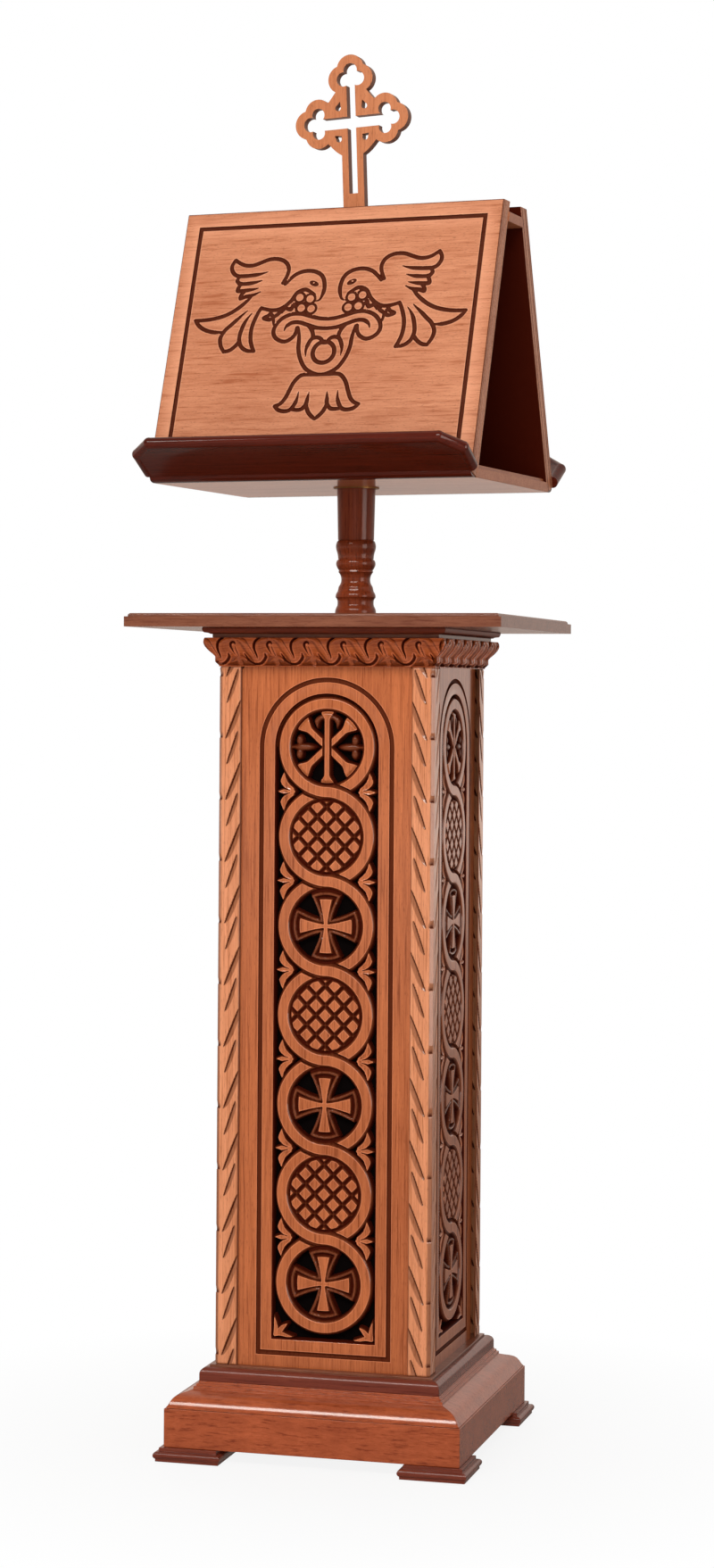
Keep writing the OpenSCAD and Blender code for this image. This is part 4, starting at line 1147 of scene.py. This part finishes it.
# The incised ornament's right half: a bird over a scrolled cup with a palmette under it. Each row gives
# the half widths of the cut at its two ends, then a smooth line's control points, x to the right of the
# middle and y up the slope
STROKES = [
    (0.6, 2.4, [(21.5, 224.5), (15, 225.5), (12, 231), (10.3, 238), (10.5, 245.5), (13, 254.3),
                (18.5, 260.7), (28, 264.6), (39, 265), (49, 261.5), (56, 255.6), (62, 249)]),
    (2.4, 2.4, [(65.5, 250.5), (61.3, 259.5), (60, 268), (63, 275.7), (69.3, 280.8), (78, 283.2),
                (88, 282.7), (98, 279), (108, 275.8), (118, 276.3), (125.5, 279.5), (132, 284)]),
    (2.4, 0.5, [(132, 284), (135.5, 277), (135, 270.7), (130.5, 264.6), (123, 262), (105.5, 262.5),
                (95.5, 264), (86.7, 266.5)]),
    (0.5, 2.0, [(93, 255.2), (103, 252.5), (115.5, 251.5), (123, 252.5), (126.2, 256.5), (124.2, 260.5)]),
    (0.5, 2.0, [(96.2, 245), (106.7, 243), (118, 242), (123.7, 242.5), (122.5, 248), (120.5, 251.5)]),
    (0.5, 2.0, [(93, 240.2), (103, 235.7), (113, 233.8), (118.5, 232), (117.6, 237), (114, 241)]),
    (2.0, 2.4, [(104.2, 234.8), (110.5, 227), (120.5, 218.2), (133, 210.8), (148, 206.3), (163, 204.6),
                (174, 204.6)]),
    (2.4, 0.8, [(174, 204.6), (168, 197), (158, 190.8), (145.5, 187.8), (135.5, 188.3)]),
    (0.6, 2.4, [(106.7, 215.2), (115.5, 207), (125.5, 197), (133, 189.5), (137.5, 179.5), (135.5, 169.5),
                (130.5, 161.5)]),
    (2.4, 1.2, [(130.5, 161.5), (123, 163.2), (115.5, 169.5), (111.7, 177)]),
    (0.5, 2.4, [(100, 212), (105.5, 204.5), (110, 194.5), (112.5, 182), (111.7, 174.5), (108, 167),
                (100.5, 162), (91, 160.8)]),
    (2.4, 2.4, [(89.2, 218.2), (94.2, 207), (98, 192), (97.5, 177), (94.2, 167), (91, 160.8)]),
    (2.4, 2.0, [(89.2, 218.2), (78, 215), (66.7, 215), (58, 219.5), (50.5, 227), (45.5, 235.7),
                (39.2, 239.6), (33, 240), (26.7, 236.5), (21.7, 233)]),
    (2.6, 2.6, [(0, 200.2), (10.5, 201.2), (23, 204.5), (35.5, 208.2), (48, 208.2), (59.2, 203.2),
                (66.7, 194.5), (68.7, 185.7), (65.5, 178.2), (58, 173.3), (50.5, 172.5), (43, 177),
                (39.2, 184), (38.6, 190)]),
    (2.5, 0.6, [(0, 187.8), (13, 189), (25.5, 193.2), (36.7, 197), (46.7, 196.6), (53, 192), (55, 186.5)]),
    (2.0, 2.4, [(37, 190), (34.2, 177), (33, 162), (29.2, 149.5), (21.7, 137), (13, 130.8), (5.5, 128)]),
    (2.2, 2.0, [(24, 192), (19, 186), (16.5, 179.5), (16.8, 175.5)]),
    (2.2, 0.6, [(1.5, 168.5), (5.5, 174), (10.5, 176.2), (16.7, 175), (20.5, 169.5), (23, 161),
                (22.5, 152)]),
    (2.4, 2.4, [(0, 127.5), (12, 127.7), (23, 127.5), (29.2, 123.2), (34.2, 115.7), (38, 105.7), (41.7, 97),
                (46.7, 90.8), (53.7, 87.7)]),
    (2.4, 0.5, [(53.7, 87.7), (48, 82.6), (39.2, 80.8), (32.5, 83), (28.5, 89), (26, 96), (25, 106)]),
    (2.2, 0.5, [(31, 82.8), (24, 82), (18, 83.3), (13.5, 89.5), (12.5, 97), (11.5, 105)]),
    (1.8, 2.2, [(13.5, 90.7), (10.5, 81), (5.5, 74.5), (0.0, 69.8)]),
    (2.0, 1.6, [(63, 212.5), (66, 209), (72, 206), (76, 213)]),
    (1.8, 1.6, [(76, 213), (78.5, 207.5), (84, 204.5), (76.5, 202), (72.0, 203.5), (69.5, 195)]),
    (1.6, 1.6, [(43, 216), (47, 222), (50, 214.5), (57, 216.5), (61, 211)]),
]
GRAPES = ((26.7, 227.8), (40.5, 230.0), (23.8, 214.5), (36.8, 215.8))
GRAPE_OUTER = 8.2
GRAPE_INNER = 4.7
ORNAMENT_REACH = 180.0
ORNAMENT_FOOT = 62.0
ORNAMENT_TOP = 292.0

# The line border's groove: how far its edges stand from the middle, and their height up the slope
BORDER_OUT = 187.0
BORDER_IN = 181.5
BORDER_TOP = 331.0
BORDER_FOOT = 20.0

# Rings of points down a board's edge: depth under the face, how far each is drawn in, and patina with
# painted shade
BOARD_EDGE = (
    (0.8, 0.0, 0.9), (2.6, 0.0, 0.1), (3.4, 0.9, 1), (4.2, 0.0, 0.6), (7.4, 0.0, 0.0), (8.2, 0.9, 1),
    (9.0, 0.0, 0.2), (17.6, 0.0, 0), (18.4, 0.9, 1), (19.2, 0.0, 0), (BOARD_THICK - 0.4, 0.0, 0),
    (BOARD_THICK, 0.5, 0.5),
)


def ornament_gap(flat, line_half):
    """Distance from the nearest edge of the incised lines, negative inside them: the least of the
    strokes', the ring's, | |p - middle| - radius | - half width, the grapes' and the eye's."""
    reach = 6.0
    x, y = np.abs(flat[:, 0]), flat[:, 1]
    p = np.stack([x, y], 1)
    gap = np.full(len(p), reach)
    for start_half, end_half, controls in STROKES:
        line = along_curve(controls, 6)
        share = np.linspace(0, 1, len(line))
        half = np.interp(share, [0, 0.25, 0.75, 1], [start_half, line_half, line_half, end_half])
        gap = np.minimum(gap, distance_to_line(p, line, reach, half))
    ring_level, ring_radius, ring_half = 156.5, 13.8, 2.9
    ring = np.abs(np.hypot(x, y - ring_level) - ring_radius) - ring_half
    gap = np.minimum(gap, ring)
    from_grape = np.minimum.reduce([np.hypot(x - across, y - up) for across, up in GRAPES])
    gap = np.minimum(gap, np.maximum(from_grape - GRAPE_OUTER, GRAPE_INNER - from_grape))
    eye_x, eye_y, eye_long, eye_tall, slant = 24.3, 248.0, 6.2, 3.6, 0.3
    eye = np.hypot((x - eye_x) / eye_long, (y - eye_y - slant * (x - eye_x)) / eye_tall) - 1
    pupil_x, pupil_y, pupil_radius = 24.9, 249.0, 1.1
    pupil = np.hypot(x - pupil_x, y - pupil_y) - pupil_radius
    return np.minimum(gap, np.maximum(eye * eye_tall, -pupil))


def border_gap(flat):
    """Distance from the line border's groove, negative inside it: |distance from a box| - half width."""
    middle_x, middle_y = (BORDER_IN + BORDER_OUT) / 2, (BORDER_FOOT + BORDER_TOP) / 2
    half = (BORDER_OUT - BORDER_IN) / 2
    reach_y = (BORDER_TOP - BORDER_FOOT) / 2 - half
    box = np.maximum(np.abs(flat[:, 0]) - middle_x, np.abs(flat[:, 1] - middle_y) - reach_y)
    return np.abs(box) - half


def board_face(cuts):
    """A book board's carved face as points, triangles, heights, and patina with painted shade, with a
    painted highlight beside the cuts and a line of painted shade on the rim:
        line = -deep * (1 - (1 - d)^2), d = distance inside its edge / 2.6
        height = min(line, border's groove), and 0.8 mm lower on the rim, as a soft edge"""
    line_half = cuts.line_width / MM / 2
    deep = cuts.line_depth / MM
    middle_x = (BORDER_IN + BORDER_OUT) / 2
    border_x = [BORDER_IN, BORDER_IN + 0.9, middle_x, BORDER_OUT - 0.9, BORDER_OUT]
    side_x = [*border_x, BOARD_REACH - 1.0, BOARD_REACH]
    across = [-np.array(side_x[::-1]), np.linspace(-ORNAMENT_REACH, ORNAMENT_REACH, 240), side_x]
    low_y = [0, 1.0, *(BORDER_FOOT + step for step in (0, 0.9, 2.7, 4.6, 5.5)), 44]
    high_y = [310, *(BORDER_TOP - step for step in (5.2, 4.4, 2.6, 0.9, 0))]
    high_y += [BOARD_LENGTH - 1.0, BOARD_LENGTH]
    up = [low_y, np.linspace(ORNAMENT_FOOT, ORNAMENT_TOP, 153), high_y]
    points, faces = lattice_of(np.concatenate(across), np.concatenate(up))
    points, faces = split_along(points, faces, lambda p: ornament_gap(p, line_half), near=0.15)

    gap, border = ornament_gap(points, line_half), border_gap(points)
    inside = np.clip(-gap / 2.6, 0, 1)
    groove = np.where(border < 0, -1.7 * np.minimum(1, -border / 0.9), 0.0)
    height = np.minimum(-deep * (1 - (1 - inside) ** 2), groove)
    from_side = BOARD_REACH - np.abs(points[:, 0])
    from_end = np.minimum(points[:, 1], BOARD_LENGTH - points[:, 1])
    on_edge = np.minimum(from_side, from_end) < 0.01
    height = height - np.where(on_edge, 0.8, 0.0)

    middle = points[faces].mean(1)
    in_cut = (ornament_gap(middle, line_half) < 0) | (border_gap(middle) < 0)
    to_cut = np.minimum(gap, np.maximum(border, 0))[faces]
    # Painted highlight on the flat beside each cut
    painted_highlight = -0.6 * PAINTED_EDGE_HIGHLIGHT * np.clip(1 - to_cut / 1.1, 0, 1)
    # Patina and painted shade in the incised lines
    stain = np.where(in_cut[:, None], 0.93 + 0.05 * np.clip(1 + height[faces] / 1.8, 0, 1), painted_highlight)
    # A line of painted shade along the board's rim
    stain = np.where(on_edge[faces].any(1)[:, None], 0.8, stain)
    return points, faces, height, stain


def board_surface(cuts):
    """A whole book board: the carved face, rings of points down its edge, and a fan over its back, as flat
    points, heights out from the back, triangles, and patina with painted shade; the back, inside the book
    rest, is painted fully dark as shade. Each ring is the face's rim drawn in at its sides,
    x * (reach - inset) / reach, and slid up at the top by depth * tan(lean), so that the top edge is level."""
    points, faces, height, stain = board_face(cuts)
    order = ring_order(rim_edges(faces))
    rim = points[order]
    middle_y = BOARD_LENGTH / 2
    slide = math.tan(math.radians(BOARD_LEAN))
    flats, outs, triangles, patina_and_light_parts = [points], [BOARD_THICK + height], [faces], [stain]
    count = len(points)
    previous = order
    for depth, inset, dark in BOARD_EDGE:
        across = rim[:, 0] * ((BOARD_REACH - inset) / BOARD_REACH)
        slope = rim[:, 1] + np.where(rim[:, 1] > middle_y, depth * slide, 0)
        flats.append(np.stack([across, slope], 1))
        outs.append(np.full(len(rim), BOARD_THICK - depth))
        current = count + np.arange(len(rim))
        count += len(rim)
        after, below = np.roll(previous, -1), np.roll(current, -1)
        triangles += [np.stack([previous, current, below], 1), np.stack([previous, below, after], 1)]
        patina_and_light_parts.append(np.full((2 * len(rim), 3), dark * 0.9))
        previous = current
    flats.append(np.array([[0.0, middle_y]]))
    outs.append(np.array([0.0]))
    triangles.append(np.stack([previous, np.full(len(previous), count), np.roll(previous, -1)], 1))
    # The board's back, inside the book rest, is painted fully dark as shade
    patina_and_light_parts.append(np.ones((len(previous), 3)))
    return tuple(np.concatenate(part) for part in (flats, outs, triangles, patina_and_light_parts))


class LECTERN_OT_boards(bpy.types.Operator):
    """Cut the two book boards with a line border and the incised birds, cup and palmette"""

    bl_idname = "lectern.boards"
    bl_label = "Book boards"

    def execute(self, context):
        flat, out, faces, stain = board_surface(context.scene.lectern_cuts)
        for side in ("front", "back"):
            vertices = on_board(flat, out, side == "back")
            piece = make_object(
                f"book_board_carved_{side}", vertices, faces, finish["board"], "book_rest",
                f"book_board_{side}", stain,
            )
            outward(piece)
        return {"FINISHED"}


def ring_order(edges):
    """The points of one closed chain of edges, in the order they follow each other."""
    after = dict(zip(edges[:, 0].tolist(), edges[:, 1].tolist()))
    start = edges[0, 0]
    chain = [start]
    while after[chain[-1]] != start:
        chain.append(after[chain[-1]])
    return np.array(chain)


# Plain joinery, whose solids keep their shape and get softer edges


def dark_walls(piece):
    """Gives a flat upright piece dark patina with painted shade on its walls, which look neither forwards
    nor backwards.
    """
    # 0.72 darkens the walls with patina and painted shade
    forward_limit, patina = 0.6, 0.72
    mesh = piece.data
    layer = mesh.attributes.new("stain", "FLOAT", "CORNER")
    facing = np.zeros(len(mesh.polygons) * 3)
    mesh.polygons.foreach_get("normal", facing)
    corners = np.zeros(len(mesh.polygons), int)
    mesh.polygons.foreach_get("loop_total", corners)
    wall = np.abs(facing.reshape(-1, 3)[:, 1]) < forward_limit
    value = np.repeat(np.where(wall, patina, 0.0), corners)
    layer.data.foreach_set("value", value.astype(np.float32))


def finish_nodes(nodes, kind, body, width):
    """Puts a soft-edged copy in place of each named node, with one finish."""
    for node in nodes:
        piece = softened(node, finish[kind], body, width)


def finish_bare(nodes, kind):
    """Gives frame nodes that keep their own mesh a finish."""
    for node in nodes:
        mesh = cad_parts[node].data
        mesh.materials.clear()
        mesh.materials.append(finish[kind])


class LECTERN_OT_base(bpy.types.Operator):
    """Finish the feet, the plinth with its shoulder and bead, and the cabinet's floor"""

    bl_idname = "lectern.base"
    bl_label = "Feet and plinth"

    def execute(self, context):
        edge = context.scene.lectern_cuts.edge / MM
        dark = [f"foot_{corner}" for corner in CORNERS] + [f"base_bead_{side}" for side in SIDES]
        pale = [f"plinth_{side}" for side in SIDES] + [f"shoulder_{side}" for side in SIDES]
        finish_nodes(dark, "moulding", "stand", edge)
        finish_nodes(pale, "plinth", "stand", edge)
        finish_nodes(["cabinet_floor"], "table", "stand", edge)
        finish_bare(["plinth_corner_blocks"], "plinth")
        finish_bare(["foot_screws"], "steel")
        return {"FINISHED"}


class LECTERN_OT_table(bpy.types.Operator):
    """Finish the table with the boards and moulding under it"""

    bl_idname = "lectern.table"
    bl_label = "Table"

    def execute(self, context):
        edge = context.scene.lectern_cuts.edge / MM
        beds = [f"bed_moulding_{side}" for side in SIDES]
        finish_nodes(beds, "bed", "stand", edge)
        finish_nodes(["table_top", "sub_top"], "table", "stand", edge)
        finish_bare(["table_screws"], "steel")
        return {"FINISHED"}


class LECTERN_OT_column(bpy.types.Operator):
    """Finish the turned column and the pivot that the book rest turns on"""

    bl_idname = "lectern.column"
    bl_label = "Column and pivot"

    def execute(self, context):
        fine_edge = 0.3
        finish_nodes(["column_baluster", "column_shaft"], "column", "stand", fine_edge)
        finish_bare(["column_socket"], "plinth")
        finish_bare(["pivot_bolt", "pivot_washer", "pivot_nut"], "steel")
        finish_bare(["thrust_washer", "pivot_bush"], "bronze")
        return {"FINISHED"}


class LECTERN_OT_book_rest(bpy.types.Operator):
    """Finish the book rest's base, spreader, ledges and cleats"""

    bl_idname = "lectern.book_rest"
    bl_label = "Book rest"

    def execute(self, context):
        edge = context.scene.lectern_cuts.edge / MM
        # The cleats under the ledges take the dark ledge finish, which also paints the shade under each
        # ledge
        ledges = ["ledge_front", "ledge_back", "ledge_cleat_front", "ledge_cleat_back"]
        finish_nodes(["head_base", "top_spreader"], "rest", "book_rest", edge)
        finish_nodes(ledges, "ledge", "book_rest", edge)
        return {"FINISHED"}


class LECTERN_OT_cross(bpy.types.Operator):
    """Finish the budded cross, with dark patina and painted shade on its sawn walls"""

    bl_idname = "lectern.cross"
    bl_label = "Cross"

    def execute(self, context):
        fine_edge = 0.4
        cross = softened("cross", finish["cross"], "book_rest", fine_edge)
        dark_walls(cross)
        return {"FINISHED"}


class LECTERN_OT_backing(bpy.types.Operator):
    """Blacken the thin boards behind the piercings, whose near-black also paints the shade inside the
    cabinet
    """

    bl_idname = "lectern.backing"
    bl_label = "Backing boards"

    def execute(self, context):
        finish_bare([f"backing_{side}" for side in SIDES], "backing")
        return {"FINISHED"}


class LECTERN_OT_finishes(bpy.types.Operator):
    """Make the wood, metal and backing finishes"""

    bl_idname = "lectern.finishes"
    bl_label = "Finishes"

    def execute(self, context):
        colours = context.scene.lectern_colours
        group = wood_group()

        def varnish(kind, along="X", turn=0.0, patina=colours.patina, **surface):
            """Keeps a wood whose two tones are the settings named after it."""
            light = getattr(colours, kind + "_light")
            deep = getattr(colours, kind + "_deep")
            finish[kind] = wood(kind + " wood", group, light, deep, patina, along, turn, **surface)

        dark = colours.dark_patina
        varnish("panel", "Z", roughness=0.13, gloss=0.5)
        varnish("post", "Z", roughness=0.14, gloss=0.62)
        varnish("crown", roughness=0.2, gloss=0.55)
        varnish("board", turn=HEAD_TURN, gloss=0.25, fleck=2.0)
        varnish("rest", turn=HEAD_TURN, roughness=0.16)
        varnish("cross", "Z", bump=0.01)
        varnish("plinth", roughness=0.14, gloss=0.5, bump=0.006, fleck=5.0)
        varnish("table", roughness=0.22, gloss=0.38, bump=0.01, fleck=2.0)
        varnish("moulding", patina=dark, roughness=0.26, gloss=0.5, bump=0.006)
        varnish("bed", patina=dark, roughness=0.3, gloss=0.15, bump=0.006)
        varnish("ledge", turn=HEAD_TURN, patina=dark, roughness=0.14, gloss=0.4, bump=0.006)
        varnish("column", "Z", patina=dark, roughness=0.14, gloss=0.26, bump=0.008)
        # The backing's near-black also paints the shade inside the cabinet
        finish["backing"] = mottled("black backing", colours.backing, 0.9, 0.0, 0.05)
        finish["steel"] = mottled("plain steel", colours.steel, 0.35, 1.0, 0.5)
        finish["bronze"] = mottled("bearing bronze", colours.bronze, 0.4, 1.0, 0.5)
        return {"FINISHED"}


# The studio

FLOOR_REACH = 30.0

# Each lamp's place, what it is aimed at, its size and colour, and the kind of ray that doesn't see it
LAMPS = {
    "key": ((0.1, -3.5, 3.2), (0, 0, 1.0), (3.8, 0.5), (1.0, 0.98, 0.93), None),
    "fill": ((0.6, -4.4, 1.3), (0, 0, 0.9), (2.6, 2.2), (1.0, 0.97, 0.94), "visible_glossy"),
    "back": ((-1.6, 4.0, 2.2), (0, 0, 0.9), (2.4, 2.0), (1.0, 0.99, 0.97), "visible_glossy"),
    "card": ((3.3, -1.35, 1.0), (0, 0, 0.9), (1.7, 2.6), (1.0, 0.9, 0.84), "visible_diffuse"),
}


class LECTERN_OT_stage(bpy.types.Operator):
    """Set the floor, the light and the camera"""

    bl_idname = "lectern.stage"
    bl_label = "Stage"

    def execute(self, context):
        scene = context.scene
        settings = scene.lectern_stage
        scene.view_settings.view_transform = "Standard"
        mesh = bpy.data.meshes.new("floor")
        corners = [(x * FLOOR_REACH, y * FLOOR_REACH, 0) for x, y in ((-1, -1), (1, -1), (1, 1), (-1, 1))]
        mesh.from_pydata(corners, [], [(0, 1, 2, 3)])
        mesh.materials.append(self.floor_finish())
        floor = bpy.data.objects.new("floor", mesh)
        scene.collection.objects.link(floor)
        self.world(scene, settings)
        for name, lamp in LAMPS.items():
            self.lamp(scene, name, getattr(settings, name + "_power"), *lamp)
        self.camera(scene)
        return {"FINISHED"}

    def floor_finish(self):
        """White to the camera with a faint shadow, pale to the light, and far away bright in the varnish.
            seen by the camera = white in a share of 0.88 at 0.22 m, rising to 1 at 0.7 m
            seen in the varnish = a warm glow of 0.26 at 3 m, rising to 1.08 at 13 m"""
        material, wire, shader = new_material("studio floor")
        shader.inputs["Base Color"].default_value = (0.8, 0.8, 0.8, 1)
        shader.inputs["Roughness"].default_value = 0.9
        shader.inputs["Specular IOR Level"].default_value = 0.0
        path = wire.add("ShaderNodeLightPath").outputs
        where = wire.add("ShaderNodeTexCoord").outputs["Object"]
        away = wire.add("ShaderNodeVectorMath", {0: where}, operation="LENGTH").outputs["Value"]
        clear = wire.ranged(away, 0.22, 0.7, 0.88, 1.0)
        seen = wire.calc("MULTIPLY", path["Is Camera Ray"], clear)
        bright = wire.ranged(away, 3.0, 13.0, 0.26, 1.08)
        glow = wire.add("ShaderNodeEmission", {"Color": (1, 1, 1, 1), "Strength": 1.0})
        shine = wire.add("ShaderNodeEmission", {"Color": (1.0, 0.82, 0.72, 1), "Strength": bright})
        shown = wire.shader_mix(seen, shader, glow)
        shown = wire.shader_mix(path["Is Glossy Ray"], shown, shine)
        wire.join(shown.outputs[0], material.node_tree.nodes["Material Output"].inputs["Surface"])
        return material

    def world(self, scene, settings):
        """White to the camera, a plain soft light on the wood, and in the varnish a warm room that is dim
        in front of the lectern and pale behind it: shine * (0.18 to 1, as the direction's Y goes from -0.4
        to 0.7)."""
        world = bpy.data.worlds.new("studio")
        scene.world = world
        world.use_nodes = True
        wire = Wiring(world.node_tree)
        soft = world.node_tree.nodes["Background"]
        soft.inputs["Color"].default_value = (1, 0.99, 0.98, 1)
        soft.inputs["Strength"].default_value = settings.room_light
        path = wire.add("ShaderNodeLightPath").outputs
        seen = wire.calc("MAXIMUM", path["Is Camera Ray"], path["Is Transmission Ray"])
        direction = wire.add("ShaderNodeTexCoord").outputs["Generated"]
        backwards = wire.add("ShaderNodeSeparateXYZ", {0: direction}).outputs["Y"]
        share = wire.ranged(backwards, -0.4, 0.7, 0.18, 1.0)
        strength = wire.calc("MULTIPLY", share, settings.room_shine)
        white = wire.add("ShaderNodeBackground", {"Color": (1, 1, 1, 1), "Strength": 1.0})
        pale = wire.add("ShaderNodeBackground", {"Color": (1.0, 0.83, 0.74, 1), "Strength": strength})
        shown = wire.shader_mix(seen, soft, white)
        shown = wire.shader_mix(path["Is Glossy Ray"], shown, pale)
        wire.join(shown.outputs[0], world.node_tree.nodes["World Output"].inputs["Surface"])

    def lamp(self, scene, name, power, place, target, size, colour, unseen_by):
        """Adds an area lamp that the camera doesn't see."""
        data = bpy.data.lights.new(name, "AREA")
        data.shape = "RECTANGLE"
        data.size, data.size_y = size
        data.energy = power
        data.color = colour
        lamp = bpy.data.objects.new(name, data)
        scene.collection.objects.link(lamp)
        lamp.location = place
        way = Vector(target) - Vector(place)
        lamp.rotation_euler = way.to_track_quat("-Z", "Y").to_euler()
        lamp.visible_camera = False
        if unseen_by:
            setattr(lamp, unseen_by, False)

    def camera(self, scene):
        """The photograph's camera, from a fit to the corners of the cabinet, plinth and table."""
        azimuth, roll = math.radians(15.1), math.radians(0.39)
        distance, aside, level = 3.8583, 0.0025, 0.9112
        focal, tall, centre_row = 3529.2, 1757, 776.1
        sensor = 36.0
        forward = Vector((-math.sin(azimuth), math.cos(azimuth), 0))
        right = Vector((math.cos(azimuth), math.sin(azimuth), 0))
        up = Vector((0, 0, 1))
        data = bpy.data.cameras.new("camera")
        data.sensor_width = sensor
        data.sensor_fit = "AUTO"
        data.lens = focal / tall * sensor
        data.shift_y = (centre_row - tall / 2) / tall
        data.clip_end = 100
        camera = bpy.data.objects.new("camera", data)
        scene.collection.objects.link(camera)
        rolled_right = right * math.cos(roll) + up * math.sin(roll)
        rolled_up = up * math.cos(roll) - right * math.sin(roll)
        turn = Matrix((rolled_right, rolled_up, -forward)).transposed().to_4x4()
        place = right * aside + up * level - forward * distance
        camera.matrix_world = Matrix.Translation(place) @ turn
        scene.camera = camera


class LECTERN_stage_settings(bpy.types.PropertyGroup):
    """Light levels of the studio"""

    key_power: power_property("Key power", "Power of the main lamp", 112.0)
    fill_power: power_property("Fill power", "Power of the lamp in front", 52.0)
    back_power: power_property("Back power", "Power of the soft lamp behind", 80.0)
    card_power: power_property("Card power", "Power of the card that shows in the varnish", 52.0)
    room_light: FloatProperty(
        name="Room light", description="Strength of the soft light all round", default=0.26
    )
    room_shine: FloatProperty(
        name="Room shine", description="Strength of the pale wall that the varnish mirrors", default=0.85
    )


class LECTERN_PT_panel(bpy.types.Panel):
    """Lists the steps that build the lectern"""

    bl_label = "Lectern"
    bl_idname = "LECTERN_PT_panel"
    bl_space_type = "VIEW_3D"
    bl_region_type = "UI"
    bl_category = "Lectern"

    def draw(self, context):
        for step in STEPS:
            self.layout.operator(step.bl_idname)
        scene = context.scene
        for settings in (scene.lectern_colours, scene.lectern_cuts, scene.lectern_stage):
            box = self.layout.box()
            for field in settings.__annotations__:
                box.prop(settings, field)


STEPS = (
    LECTERN_OT_finishes,
    LECTERN_OT_base,
    LECTERN_OT_backing,
    LECTERN_OT_panels,
    LECTERN_OT_posts,
    LECTERN_OT_crown,
    LECTERN_OT_table,
    LECTERN_OT_column,
    LECTERN_OT_book_rest,
    LECTERN_OT_boards,
    LECTERN_OT_cross,
    LECTERN_OT_stage,
)
CLASSES = (LECTERN_colours, LECTERN_cuts, LECTERN_stage_settings, *STEPS, LECTERN_PT_panel)


def register():
    for item in CLASSES:
        bpy.utils.register_class(item)
    bpy.types.Scene.lectern_colours = PointerProperty(type=LECTERN_colours)
    bpy.types.Scene.lectern_cuts = PointerProperty(type=LECTERN_cuts)
    bpy.types.Scene.lectern_stage = PointerProperty(type=LECTERN_stage_settings)


def unregister():
    del bpy.types.Scene.lectern_stage
    del bpy.types.Scene.lectern_cuts
    del bpy.types.Scene.lectern_colours
    for item in reversed(CLASSES):
        bpy.utils.unregister_class(item)


def main():
    register()
    bpy.ops.lectern.finishes()
    bpy.ops.lectern.base()
    bpy.ops.lectern.backing()
    bpy.ops.lectern.panels()
    bpy.ops.lectern.posts()
    bpy.ops.lectern.crown()
    bpy.ops.lectern.table()
    bpy.ops.lectern.column()
    bpy.ops.lectern.book_rest()
    bpy.ops.lectern.boards()
    bpy.ops.lectern.cross()
    bpy.ops.lectern.stage()


if __name__ == "__main__":
    main()
